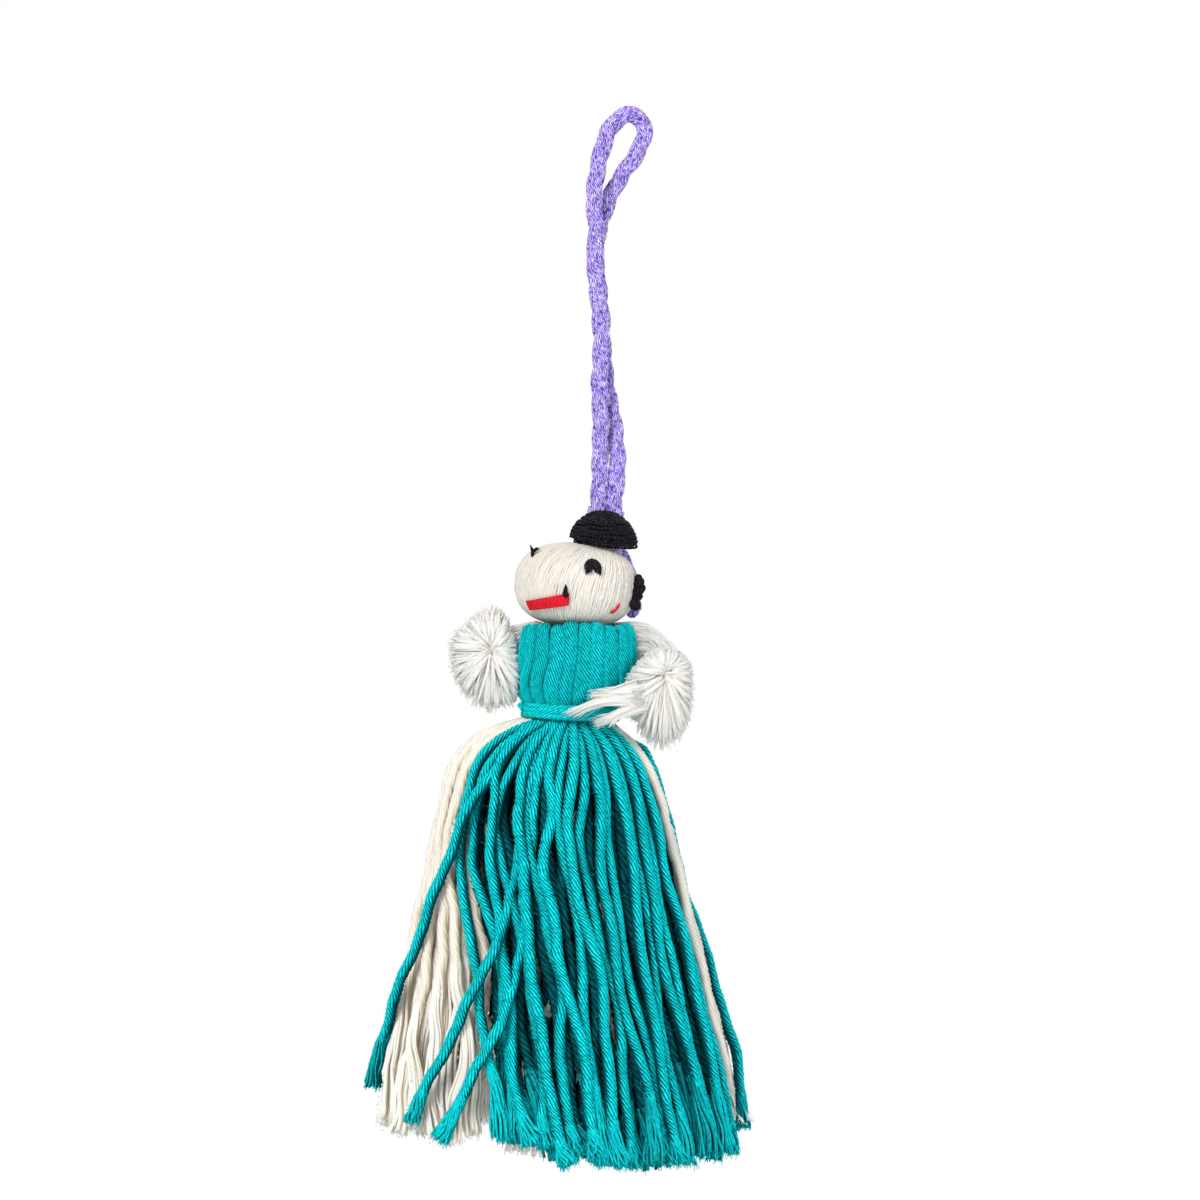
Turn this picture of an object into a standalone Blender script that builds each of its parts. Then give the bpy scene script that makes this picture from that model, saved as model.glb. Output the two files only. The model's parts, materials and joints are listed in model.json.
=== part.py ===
"""Yarn doll that hangs from a plaited cord.

The frame's origin is the seat at the top of the cord's eye, +X is to the viewer's right, +Y points
away from the viewer and +Z is up. The doll hangs straight down from the origin.
"""

import math

import bmesh
import bpy
from mathutils import Vector

MM = 0.001

# Clearances
GAP = 0.3 * MM
WINDING_GAP = 0.42 * MM

# Hanging cord: centreline points of one plaited cord, chosen along its real route, in millimetres
CORD_DIAMETER = 3.5 * MM
THROAT = (-4.6, 0.0, -25.0)
EYE_ROUTE = (
    (-4.6, -1.95, -22.95), (-4.9, -1.95, -19.5), (-5.5, -1.9, -15.6), (-5.1, -1.3, -8.5),
    (-3.9, -0.5, -2.4), (-1.6, 0.0, 1.1), (1.0, 0.1, 1.75), (3.1, 0.2, 0.4), (3.7, 0.4, -2.4),
    (2.7, 0.8, -7.0), (-0.1, 1.5, -12.2), (-2.5, 1.9, -17.0), (-4.1, 1.95, -20.3),
    (-4.6, 1.95, -22.95),
)
LEFT_LEG_ROUTE = (
    (-4.6, -1.95, -25.0), (-4.5, -1.95, -28.5), (-3.4, -1.95, -35.5), (-2.2, -1.95, -43.4),
    (-2.0, -1.95, -51.4), (-1.4, -1.5, -59.4), (-1.0, -0.45, -67.3), (-0.95, 0.0, -72.5),
    (-0.95, 0.0, -75.2),
)
RIGHT_LEG_ROUTE = (
    (-4.6, 1.95, -25.0), (-4.4, 1.95, -28.5), (-3.1, 1.95, -35.5), (-1.9, 1.95, -43.4),
    (-0.7, 1.95, -51.4), (1.2, 1.5, -59.4), (2.8, 0.45, -67.3), (2.9, 0.0, -72.5),
    (2.9, 0.0, -75.2),
)
CORD_BASE = (0.975, 0.0, -75.2)
CORD_TAIL_OFFSET = 1.925 * MM

# Hair bun, below the cord
BUN_BELOW_CORD = 2.3 * MM
BUN_WIDTH = 13.8 * MM
BUN_DEPTH = 10.2 * MM
BUN_HEIGHT = 6.6 * MM
BUN_IN_FRONT_OF_CORD = 4.5 * MM
BUN_OVERHANG_DROP = 0.9 * MM
BUN_FLOSS_DIAMETER = 0.85 * MM
BUN_LOOPS = 5
BUN_LOOP_SIDES = 20
BUN_SIDES = 16
BUN_RISE_SHARES = (0.94, 0.7, 0.45, 0.2, 0.0)
BUN_UNDER_SHARES = (0.97, 0.55, 0.1)
BUN_WINDING_SHARES = (0.02, 0.87)

# Cord tails: angles round the head, 180 degrees at the back, and angles above its middle
LEFT_TAIL_TURNS = (155.0, 152.0, 150.0, 148.0)
RIGHT_TAIL_TURNS = (133.0, 131.0, 130.0, 126.0)
TAIL_LIFTS = (43.0, 20.0, 0.0, -18.0)
TAIL_BEND_SHARE = 0.72
TAIL_POINT_STEP = 4.9 * MM

# Head
HEAD_WIDTH = 24.2 * MM
HEAD_DEPTH = 21.0 * MM
HEAD_HEIGHT = 17.2 * MM
HEAD_LEFT_OF_CORD = 5.05 * MM
HEAD_IN_FRONT_OF_CORD = 3.5 * MM
HEAD_WALL = 2.4 * MM
HEAD_BOXINESS_SHARE = 0.06
HEAD_SIDES = 20
HEAD_LEVELS = 10
HEAD_TOP_ANGLE = 83.7
HEAD_CORE_SIDES = 12
HEAD_CORE_LEVELS = 8

# Face: places are angles on the head, 0 degrees facing the viewer, 90 degrees to the right
STITCH_THICKNESS = 0.6 * MM
STITCH_TOP_SHARE = 0.7
EYE_WIDTH = 3.6 * MM
EYE_HEIGHT = 3.7 * MM
EYE_THREAD_WIDTH = 1.35 * MM
EYE_ARCH_SHARES = ((-1.0, -1.0), (-0.95, -0.1), (-0.55, 0.75), (0.0, 1.0), (0.55, 0.75), (0.95, -0.1),
                   (1.0, -1.0))
RIGHT_EYE_ANGLES = (18.0, 23.5)
LEFT_EYE_ANGLES = (-80.0, 43.0)
NOSE_LENGTH = 2.4 * MM
NOSE_WIDTH = 1.3 * MM
NOSE_ANGLES = (-3.5, -8.0)
NOSE_SHARES = ((-1.0, 0.5), (-0.4, 1.0), (0.3, 0.9), (1.0, 0.3))
MOUTH_WIDTH = 2.1 * MM
MOUTH_ANGLES = ((-54.0, -30.5), (-41.0, -28.0), (-28.0, -25.0), (-17.5, -22.0), (-9.0, -19.8))
MOUTH_WIDTH_SHARES = (0.95, 1.0, 1.0, 1.05, 1.1)
CHEEK_WIDTH = 1.0 * MM
CHEEK_ANGLES = ((44.0, -33.0), (48.0, -28.5), (52.0, -24.5))
CHEEK_WIDTH_SHARES = (0.4, 1.0, 0.5)
SIDE_TUFT_WIDTH = 2.4 * MM
SIDE_TUFT_THICKNESS = 1.3 * MM
SIDE_TUFT_ANGLES = ((84.0, 16.0), (86.0, 8.0), (86.0, 0.0), (84.0, -7.0))
SIDE_TUFT_WIDTH_SHARES = (0.6, 1.0, 1.0, 0.6)
SIDE_KNOT_DIAMETER = 2.2 * MM
SIDE_KNOT_ANGLES = (82.0, -18.0)

# Neck, and the thread wound round it
NECK_DIAMETER = 4.4 * MM
NECK_BELOW_HEAD = 2.0 * MM
NECK_RIGHT_OF_HEAD = 0.7 * MM
NECK_TIE_DIAMETER = 0.6 * MM
NECK_TIE_LOOPS = 2
NECK_TIE_SIDES = 16
NECK_ROOT_SHARE = 1.25
NECK_END_SHARES = ((0.55, 0.82), (-0.2, 0.92), (-0.8, 0.45), (-0.8, 0.35), (0.6, 0.35))

# Torso: widths and depths are full sizes of the teal bodice
TORSO_RIGHT_OF_NECK = 0.7 * MM
BODICE_ABOVE_NECK = 2.5 * MM
BODICE_HEIGHT = 15.2 * MM
BODICE_WIDTH = 24.2 * MM
BODICE_DEPTH = 17.2 * MM
WAIST_WIDTH = 20.8 * MM
WAIST_DEPTH = 15.2 * MM
WAIST_LEFT_OF_TORSO = 0.7 * MM
BODICE_WALL = 2.6 * MM
BODICE_WAIST_WALL = 1.5 * MM
BODICE_TAPER_FROM_SHARE = 0.25
BODICE_TAPER_POWER = 1.6
BODICE_FOLD_SHARE = 0.05
BODICE_LEVEL_SHARES = ((0.0, 0.40, 0.62), (0.035, 0.14, 0.88), (0.10, 0.0, 1.0), (0.40, 0.0, 1.0),
                       (0.75, 0.0, 0.95), (1.0, 0.0, BODICE_WAIST_WALL / BODICE_WALL))
YARN_GROOVE = 0.55 * MM
BODICE_YARNS = 10
BODICE_YARN_SIDES = 4
TRUNK_TOP_DIAMETER = 9.2 * MM
TRUNK_WIDTH = 15.4 * MM
TRUNK_DEPTH = 10.0 * MM
TRUNK_END_SHARE = 0.9
TRUNK_SIDES = 20
TRUNK_SHOULDER_BELOW_NECK = 7.4 * MM
TRUNK_HEIGHT = 10.7 * MM
NECK_SOCKET_DEPTH = 2.7 * MM
ARM_HANK_DIAMETER = 3.2 * MM
ARM_HANK_BELOW_NECK = 5.2 * MM
ARM_HANK_SAG = 0.4 * MM
ARM_HANK_SIDES = 8

# Waist tie
WAIST_TIE_DIAMETER = 0.8 * MM
WAIST_TIE_LOOPS = 2
WAIST_TIE_SIDES = 24
WAIST_KNOT_DIAMETER = 1.8 * MM

# Arms: each is a yarn bundle that narrows from the shoulder to the wrist
ARM_THICKNESS = 4.0 * MM
ARM_SIDES = 12
SHOULDER_TURN_SHARES = (0.16, 0.38, 0.64, 1.0)
ARM_BEND_SHARES = (0.8, 0.5)
ARM_TAPER_SHARES = ((0.3, 0.95), (0.55, 0.78), (0.8, 0.52))
WRIST_DIAMETER = 2.2 * MM
WRIST_TIE_DIAMETER = 0.5 * MM
WRIST_TIE_LOOPS = 2
WRIST_TIE_SIDES = 12
TUFT_CORE_DIAMETER = 4.2 * MM
TUFT_STRAND_GAP = 0.1 * MM
TUFT_SPREAD_SHARE = 1.3
TUFT_WRIST_ANGLE = 56.6
TUFT_SWEPT_ANGLE = 41.4
TUFT_LEAST_STRAND = 1.05 * MM
LEFT_SHOULDER_HEIGHT = 7.6 * MM
LEFT_SHOULDER_LEFT_OF_NECK = 8.9 * MM
LEFT_SHOULDER_BELOW_BODICE_TOP = 3.9 * MM
LEFT_WRIST_OUT = 6.9 * MM
LEFT_WRIST_DOWN = 1.9 * MM
LEFT_WRIST_FORWARD = 0.0
LEFT_ARM_ARCH = 0.0
LEFT_TUFT_SIZE = (13.8 * MM, 15.0 * MM, 21.0 * MM)
LEFT_TUFT_SHIFT = (1.0 * MM, 1.0 * MM, 0.9 * MM)
RIGHT_SHOULDER_HEIGHT = 7.0 * MM
RIGHT_SHOULDER_RIGHT_OF_NECK = 10.2 * MM
RIGHT_SHOULDER_BELOW_BODICE_TOP = 2.2 * MM
RIGHT_WRIST_OUT = 7.4 * MM
RIGHT_WRIST_DOWN = 3.6 * MM
RIGHT_WRIST_FORWARD = 3.8 * MM
RIGHT_ARM_ARCH = 4.2 * MM
RIGHT_TUFT_SIZE = (13.6 * MM, 11.0 * MM, 19.4 * MM)
RIGHT_TUFT_SHIFT = (-1.2 * MM, -0.6 * MM, -4.6 * MM)
RIGHT_TUFT_SWEEP = 13.0 * MM

# Skirt: the surface that its outer yarns follow, as half sizes that grow with the drop below the waist
SKIRT_DROP = 87.0 * MM
SKIRT_NECK_WIDTH = 17.0 * MM
SKIRT_NECK_DEPTH = 11.0 * MM
SKIRT_NECK_ABOVE_BELT = 3.6 * MM
SKIRT_NECK_BELOW_BELT = 0.6 * MM
LEFT_HIP = 15.0 * MM
LEFT_HIP_DROP = 5.5 * MM
LEFT_FLARE_SHARE = 0.175
RIGHT_HIP = 7.0 * MM
RIGHT_HIP_DROP = 4.0 * MM
RIGHT_FLARE_SHARE = 0.315
FRONT_HIP = 8.0 * MM
FRONT_HIP_DROP = 7.0 * MM
FRONT_FLARE_SHARE = 0.13
SKIRT_RIGHT_DRIFT = 2.6 * MM
SKIRT_BACK_DRIFT = 1.5 * MM
SKIRT_COLLAR_DROP = 2.7 * MM
SKIRT_COLLAR_WALL = 2.2 * MM
SKIRT_COLLAR_SHARES = (0.0, 0.5, 1.0)
SHEET_YARN_START_SHARE = 0.6
CORE_YARN_START_SHARE = 0.4
YARN_DIAMETER = 2.6 * MM
YARN_FILL_SHARE = 0.43
YARN_SIDES = 5
YARN_POINT_SHARES = (0.0, 0.035, 0.09, 0.18, 0.32, 0.52, 0.75, 1.0)
YARN_PATH_STEPS = 200
YARN_SETTLE_SHARE = 0.25
YARN_WAVE_SHARE = 0.10
YARN_WAVE_TURN = 7.0
YARN_WAVE_SHIFT = 3.0
FRONT_YARN_PAST_DROP = 1.5 * MM
BACK_YARN_PAST_DROP = 2.0 * MM
CORE_YARN_SHORT_OF_DROP = 1.0 * MM
YARN_LENGTH_VARIATION = 1.6 * MM
FRONT_YARNS = 18
RIGHT_CREAM_YARNS = 2
BACK_YARNS = 18
LEFT_CREAM_YARNS = 9
SHEET_GAP_SHARE = 1.36
FRONT_RIGHT_ANGLE = -22.0
FRONT_LEFT_SWING = 30.0
FRONT_LEFT_SWING_SHARE = 1.3
CORE_RING_YARNS = 10
CORE_RING_SHARE = 0.42
CORE_PLUG_WIDTH = 11.6 * MM
CORE_PLUG_DEPTH = 5.2 * MM
CORE_PLUG_SIDES = 16
LOOSE_YARN_CLEARANCE = 0.5 * MM
LOOSE_LEFT_ANGLES = (-133.0, -138.0, -143.0, -149.0, -156.0, -165.0, -174.0, -180.0)
LOOSE_LEFT_DROP_SHARES = (0.13, 0.89)
CROSSING_UPPER_ANGLES = (-113.0, -115.0, -119.5, -124.5, -129.5, -134.5, -138.5)
CROSSING_UPPER_DROP_SHARES = (0.44, 0.94)
CROSSING_LOWER_ANGLES = (-107.0, -109.0, -113.0, -117.5, -122.0, -125.5)
CROSSING_LOWER_DROP_SHARES = (0.60, 0.97)
RIGHT_EDGE_DROP_SHARES = (0.11, 0.95)
RIGHT_EDGE_STEPS = 6

# Shapes
SHARP_ANGLE = 50.0
DOME_SHARES = (0.5, 0.85, 0.995)
CURVE_SUBSTEPS = 20

# Finishes: colour, roughness
TEAL = ("08A89E", 0.9)
CREAM = ("ECE8DD", 0.9)
BLACK = ("1E1A1D", 0.6)
RED = ("E3202E", 0.6)
LAVENDER = ("A587D7", 0.5)


# Derived places

def in_metres(point):
    """A route point, written in millimetres, as a vector in metres."""
    return Vector(point) * MM


THROAT_AT = in_metres(THROAT)
CORD_BASE_AT = in_metres(CORD_BASE)
CORD_RADIUS = CORD_DIAMETER / 2
HEAD_RADII = Vector((HEAD_WIDTH, HEAD_DEPTH, HEAD_HEIGHT)) / 2
BUN_TOP_Z = CORD_BASE_AT.z - BUN_BELOW_CORD
BUN_AT = Vector((CORD_BASE_AT.x, -BUN_IN_FRONT_OF_CORD, BUN_TOP_Z - BUN_HEIGHT))
HEAD_AT = Vector((CORD_BASE_AT.x - HEAD_LEFT_OF_CORD, -HEAD_IN_FRONT_OF_CORD, BUN_AT.z - HEAD_RADII.z))
NECK_AT = HEAD_AT + Vector((NECK_RIGHT_OF_HEAD, 0, -HEAD_RADII.z - NECK_BELOW_HEAD))
NECK_RADIUS = NECK_DIAMETER / 2
TORSO_X = NECK_AT.x + TORSO_RIGHT_OF_NECK
TORSO_Y = NECK_AT.y
ARM_SLOT = ARM_THICKNESS + 2 * GAP
BODICE_TOP_Z = NECK_AT.z + BODICE_ABOVE_NECK
BODICE_BOTTOM_Z = BODICE_TOP_Z - BODICE_HEIGHT
WAIST_X = TORSO_X - WAIST_LEFT_OF_TORSO
BELT_HEIGHT = WAIST_TIE_DIAMETER + WAIST_TIE_LOOPS * (WAIST_TIE_DIAMETER + WINDING_GAP)
BELT_Z = BODICE_BOTTOM_Z - GAP - BELT_HEIGHT
WAIST_AT = Vector((WAIST_X, TORSO_Y, BODICE_BOTTOM_Z - GAP - BELT_HEIGHT / 2))
SKIRT_Z = BELT_Z
LEFT_SHOULDER_AT = Vector((NECK_AT.x - LEFT_SHOULDER_LEFT_OF_NECK, NECK_AT.y,
                           BODICE_TOP_Z - LEFT_SHOULDER_BELOW_BODICE_TOP))
RIGHT_SHOULDER_AT = Vector((NECK_AT.x + RIGHT_SHOULDER_RIGHT_OF_NECK, NECK_AT.y,
                            BODICE_TOP_Z - RIGHT_SHOULDER_BELOW_BODICE_TOP))

BODY_PLACES = {
    "hanger": (None, Vector((0, 0, 0))),
    "cord_legs": ("hanger", THROAT_AT),
    "head": ("cord_legs", CORD_BASE_AT),
    "neck": ("head", NECK_AT),
    "torso": ("neck", NECK_AT),
    "left_arm": ("torso", LEFT_SHOULDER_AT),
    "right_arm": ("torso", RIGHT_SHOULDER_AT),
    "skirt": ("torso", WAIST_AT),
}


# Scene helpers

def clear_scene():
    """Remove every object that the file holds."""
    for thing in list(bpy.data.objects):
        bpy.data.objects.remove(thing, do_unlink=True)


def make_bodies():
    """Add one empty for each moving body, on its joint's axis, in one tree."""
    empties = {}
    for name, (parent, place) in BODY_PLACES.items():
        empty = bpy.data.objects.new("body_" + name, None)
        empty.empty_display_size = CORD_DIAMETER
        bpy.context.scene.collection.objects.link(empty)
        if parent:
            empty.parent = empties[parent]
            empty.location = place - BODY_PLACES[parent][1]
        empties[name] = empty
    return empties


def linear(channel):
    """One sRGB channel as a linear value."""
    return channel / 12.92 if channel <= 0.04045 else ((channel + 0.055) / 1.055) ** 2.4


def make_material(name, finish):
    """A matt yarn material of its own for one piece."""
    colour, roughness = finish
    channels = [linear(int(colour[i:i + 2], 16) / 255) for i in (0, 2, 4)]
    material = bpy.data.materials.new(name + "_yarn")
    material.use_nodes = True
    shader = material.node_tree.nodes["Principled BSDF"]
    shader.inputs["Base Color"].default_value = (*channels, 1.0)
    shader.inputs["Roughness"].default_value = roughness
    shader.inputs["Metallic"].default_value = 0.0
    return material


class Doll:
    """Places pieces on the bodies that carry them."""

    def __init__(self):
        self.empties = make_bodies()

    def add_mesh(self, name, body, finish, shape):
        """Turn a bmesh in world places into a node carried by a body."""
        bmesh.ops.recalc_face_normals(shape, faces=shape.faces)
        bmesh.ops.translate(shape, verts=shape.verts, vec=-BODY_PLACES[body][1])
        mesh = bpy.data.meshes.new(name)
        shape.to_mesh(mesh)
        shape.free()
        mesh.shade_smooth()
        mesh.set_sharp_from_angle(angle=math.radians(SHARP_ANGLE))
        mesh.materials.append(make_material(name, finish))
        piece = bpy.data.objects.new(name, mesh)
        bpy.context.scene.collection.objects.link(piece)
        piece.parent = self.empties[body]
        return piece

    def add_tube(self, name, body, finish, points, diameter, dome_start=False, dome_end=False,
                 resolution=2):
        """A curve object with a round section and filled caps, through the points in order."""
        places, swells = domed(points, diameter / 2, dome_start, dome_end)
        curve = bpy.data.curves.new(name, "CURVE")
        curve.dimensions = "3D"
        curve.bevel_depth = diameter / 2
        curve.bevel_resolution = resolution
        curve.use_fill_caps = True
        curve.twist_mode = "MINIMUM"
        spline = curve.splines.new("POLY")
        spline.points.add(len(places) - 1)
        for slot, place, swell in zip(spline.points, places, swells):
            slot.co = (*(place - BODY_PLACES[body][1]), 1.0)
            slot.radius = swell
        curve.materials.append(make_material(name, finish))
        piece = bpy.data.objects.new(name, curve)
        bpy.context.scene.collection.objects.link(piece)
        piece.parent = self.empties[body]
        return piece

    def cut(self, piece, tool, operation):
        """Join or cut a piece by a hidden tool with an exact Boolean."""
        tool.hide_render = True
        tool.display_type = "WIRE"
        modifier = piece.modifiers.new(operation.lower(), "BOOLEAN")
        modifier.operation = operation
        modifier.object = tool
        modifier.solver = "EXACT"
        modifier.use_self = True


# Shape helpers

def catmull_rom(before, start, end, after, share):
    """A point between start and end on a smooth curve through four points."""
    square, cube = share * share, share * share * share
    return 0.5 * (2 * start + (end - before) * share
                  + (2 * before - 5 * start + 4 * end - after) * square
                  + (3 * start - before - 3 * end + after) * cube)


def smooth_points(points, step):
    """Points at even steps along a smooth curve through the given ones."""
    fine = []
    padded = [2 * points[0] - points[1], *points, 2 * points[-1] - points[-2]]
    for i in range(len(points) - 1):
        for k in range(CURVE_SUBSTEPS):
            fine.append(catmull_rom(*padded[i:i + 4], k / CURVE_SUBSTEPS))
    fine.append(points[-1])
    lengths = [0.0]
    for a, b in zip(fine, fine[1:]):
        lengths.append(lengths[-1] + (b - a).length)
    count = max(3, round(lengths[-1] / step))
    result = []
    j = 0
    for i in range(count + 1):
        goal = lengths[-1] * i / count
        while j < len(fine) - 2 and lengths[j + 1] < goal:
            j += 1
        span = lengths[j + 1] - lengths[j]
        result.append(fine[j].lerp(fine[j + 1], (goal - lengths[j]) / span if span else 0.0))
    return result


def domed(points, radius, dome_start, dome_end):
    """Add round ends: extra points past an end, with the share of the radius that each has."""
    places, swells = list(points), [1.0] * len(points)
    if dome_end:
        along = (points[-1] - points[-2]).normalized()
        for reach in DOME_SHARES:
            places.append(points[-1] + along * radius * reach)
            swells.append(math.sqrt(1 - reach * reach))
    if dome_start:
        along = (points[0] - points[1]).normalized()
        for reach in DOME_SHARES:
            places.insert(0, points[0] + along * radius * reach)
            swells.insert(0, math.sqrt(1 - reach * reach))
    return places, swells


def loft(shape, rings):
    """Skin rings of equal count into one closed body, with a flat cap at each end."""
    levels = [[shape.verts.new(p) for p in ring] for ring in rings]
    count = len(levels[0])
    for low, high in zip(levels, levels[1:]):
        for i in range(count):
            k = (i + 1) % count
            shape.faces.new((low[i], low[k], high[k], high[i]))
    shape.faces.new(levels[0])
    shape.faces.new(levels[-1])


def tube_rings(points, radii, sides):
    """Rings of a round tube along points, turned as little as possible from one to the next."""
    rings = []
    side = None
    for i, point in enumerate(points):
        ahead = points[min(i + 1, len(points) - 1)]
        behind = points[max(i - 1, 0)]
        along = (ahead - behind).normalized()
        if side is None:
            side = along.cross(Vector((0, 1, 0)))
            if side.length < 0.1:
                side = along.cross(Vector((1, 0, 0)))
        side = (side - along * side.dot(along)).normalized()
        up = along.cross(side)
        rings.append([point + (side * math.cos(a) + up * math.sin(a)) * radii[i]
                      for a in (2 * math.pi * k / sides for k in range(sides))])
    return rings


def ellipse_ring(centre, half_width, half_depth, count):
    """A level ring of points round a centre."""
    return [centre + Vector((half_width * math.cos(a), half_depth * math.sin(a), 0))
            for a in (2 * math.pi * k / count for k in range(count))]


def least_gap(points, diameter, points_per_loop):
    """The smallest clear distance of a wound tube to its own other turns."""
    least = math.inf
    for i, a in enumerate(points):
        for b in points[i + points_per_loop // 2:]:
            least = min(least, (a - b).length - diameter)
    return least


def even_angles(start, positions, total, flatness):
    """Angles at positions along an oval, in degrees, of which total positions go once round it."""
    steps = 720
    lengths = [0.0]
    for k in range(steps):
        a = math.radians(start + 360 * (k + 0.5) / steps)
        lengths.append(lengths[-1] + math.hypot(math.sin(a), flatness * math.cos(a)))
    angles = []
    for position in positions:
        turns, part = divmod(position, total)
        goal = lengths[-1] * part / total
        k = min(range(steps + 1), key=lambda j: abs(lengths[j] - goal))
        angles.append(start + 360 * (turns + k / steps))
    return angles


# Hanging cord

def build_cord(doll):
    """The eye, the two legs and the two tails of the plaited hanging cord."""
    eye = smooth_points([in_metres(p) for p in EYE_ROUTE], CORD_DIAMETER)
    doll.add_tube("hanging_cord_eye", "hanger", LAVENDER, eye, CORD_DIAMETER)
    for side, route in (("left", LEFT_LEG_ROUTE), ("right", RIGHT_LEG_ROUTE)):
        points = smooth_points([in_metres(p) for p in route], 2 * CORD_DIAMETER)
        doll.add_tube("hanging_cord_" + side + "_leg", "cord_legs", LAVENDER, points, CORD_DIAMETER,
                      dome_start=True, dome_end=True)
    build_tail(doll, "cord_tail_left", -CORD_TAIL_OFFSET, LEFT_TAIL_TURNS)
    build_tail(doll, "cord_tail_right", CORD_TAIL_OFFSET, RIGHT_TAIL_TURNS)


def on_head(turn, lift, stand_off):
    """A point off the head's surface at an angle round it and an angle above its middle."""
    turn, lift = math.radians(turn), math.radians(lift)
    boxy = 1 + HEAD_BOXINESS_SHARE * math.sin(2 * lift) ** 2
    reach = Vector((HEAD_RADII.x * boxy, HEAD_RADII.y * boxy, HEAD_RADII.z * boxy))
    place = Vector((reach.x * math.cos(lift) * math.sin(turn), -reach.y * math.cos(lift) * math.cos(turn),
                    reach.z * math.sin(lift)))
    normal = Vector((place.x / reach.x ** 2, place.y / reach.y ** 2, place.z / reach.z ** 2)).normalized()
    return HEAD_AT + place + normal * stand_off


def build_tail(doll, name, offset, turns):
    """One end of the cord, from behind the bun down the back of the head to the neck."""
    stand_off = CORD_RADIUS + GAP
    top = CORD_BASE_AT + Vector((offset, 0, -CORD_RADIUS - GAP))
    down = [on_head(turn, lift, stand_off) for turn, lift in zip(turns, TAIL_LIFTS)]
    first = down[0]
    bend = Vector((top.x, BUN_AT.y + BUN_DEPTH / 2 * TAIL_BEND_SHARE + stand_off, top.z - CORD_RADIUS))
    behind = Vector(((top.x + first.x) / 2, BUN_AT.y + BUN_DEPTH / 2 + stand_off, (bend.z + first.z) / 2))
    points = smooth_points([top, bend, behind, *down], TAIL_POINT_STEP)
    doll.add_tube(name, "head", LAVENDER, points, CORD_DIAMETER)


# Head

def build_head(doll):
    """The yarn head with its gathered neck, the ball inside it, the bun and the face."""
    build_head_yarn(doll)
    build_bun(doll)
    build_face(doll)


def build_head_yarn(doll):
    """A wall of yarn, closed over the top and gathered to a round-ended neck below."""
    bottom = math.degrees(math.asin(NECK_ROOT_SHARE * NECK_RADIUS / HEAD_RADII.x)) - 90
    lifts = [HEAD_TOP_ANGLE + (bottom - HEAD_TOP_ANGLE) * k / HEAD_LEVELS for k in range(HEAD_LEVELS + 1)]

    def level(lift, inset):
        return [on_head(360 * k / HEAD_SIDES, lift, -inset) for k in range(HEAD_SIDES)]

    rings = [level(lift, 0.0) for lift in lifts]
    for height, swell in NECK_END_SHARES:
        centre = NECK_AT + Vector((0, 0, NECK_RADIUS * height))
        rings.append(facing_ring(centre, NECK_RADIUS * swell, HEAD_SIDES))
    rings += [level(lift, HEAD_WALL) for lift in reversed(lifts[:-1])]
    shape = bmesh.new()
    loft(shape, rings)
    doll.add_mesh("head_yarn", "head", CREAM, shape)

    core_radii = HEAD_RADII - Vector((1, 1, 1)) * (HEAD_WALL + 2 * GAP)
    shape = bmesh.new()
    rings = []
    for k in range(1, HEAD_CORE_LEVELS):
        lift = math.pi / 2 - math.pi * k / HEAD_CORE_LEVELS
        rings.append(ellipse_ring(HEAD_AT + Vector((0, 0, core_radii.z * math.sin(lift))),
                                  core_radii.x * math.cos(lift), core_radii.y * math.cos(lift),
                                  HEAD_CORE_SIDES))
    loft(shape, rings)
    doll.add_mesh("head_core", "head", CREAM, shape)


def facing_ring(centre, radius, count):
    """A level round ring whose first point faces the viewer, as the head's rings do."""
    return [centre + Vector((radius * math.sin(a), -radius * math.cos(a), 0))
            for a in (2 * math.pi * k / count for k in range(count))]


def head_top_z(x, y):
    """The height of the head's surface, or of its equator beyond its edge."""
    across = ((x - HEAD_AT.x) / HEAD_RADII.x) ** 2 + ((y - HEAD_AT.y) / HEAD_RADII.y) ** 2
    boxy = 1 + HEAD_BOXINESS_SHARE
    return HEAD_AT.z + HEAD_RADII.z * boxy * math.sqrt(max(0.0, 1 - across / boxy ** 2))


def bun_point(turn, rise, inset):
    """A point on the bun: an angle round it and a share of the way from its rim to its top."""
    half_width, half_depth = BUN_WIDTH / 2 - inset, BUN_DEPTH / 2 - inset
    across = math.cos(rise * math.pi / 2)
    x = BUN_AT.x + half_width * across * math.sin(turn)
    y = BUN_AT.y - half_depth * across * math.cos(turn)
    rim_x = BUN_AT.x + half_width * math.sin(turn)
    rim_y = BUN_AT.y - half_depth * math.cos(turn)
    rim = max(head_top_z(rim_x, rim_y) + GAP, BUN_AT.z - BUN_OVERHANG_DROP) + inset
    top = BUN_TOP_Z - inset
    return Vector((x, y, rim + (top - rim) * math.sin(rise * math.pi / 2)))


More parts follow.
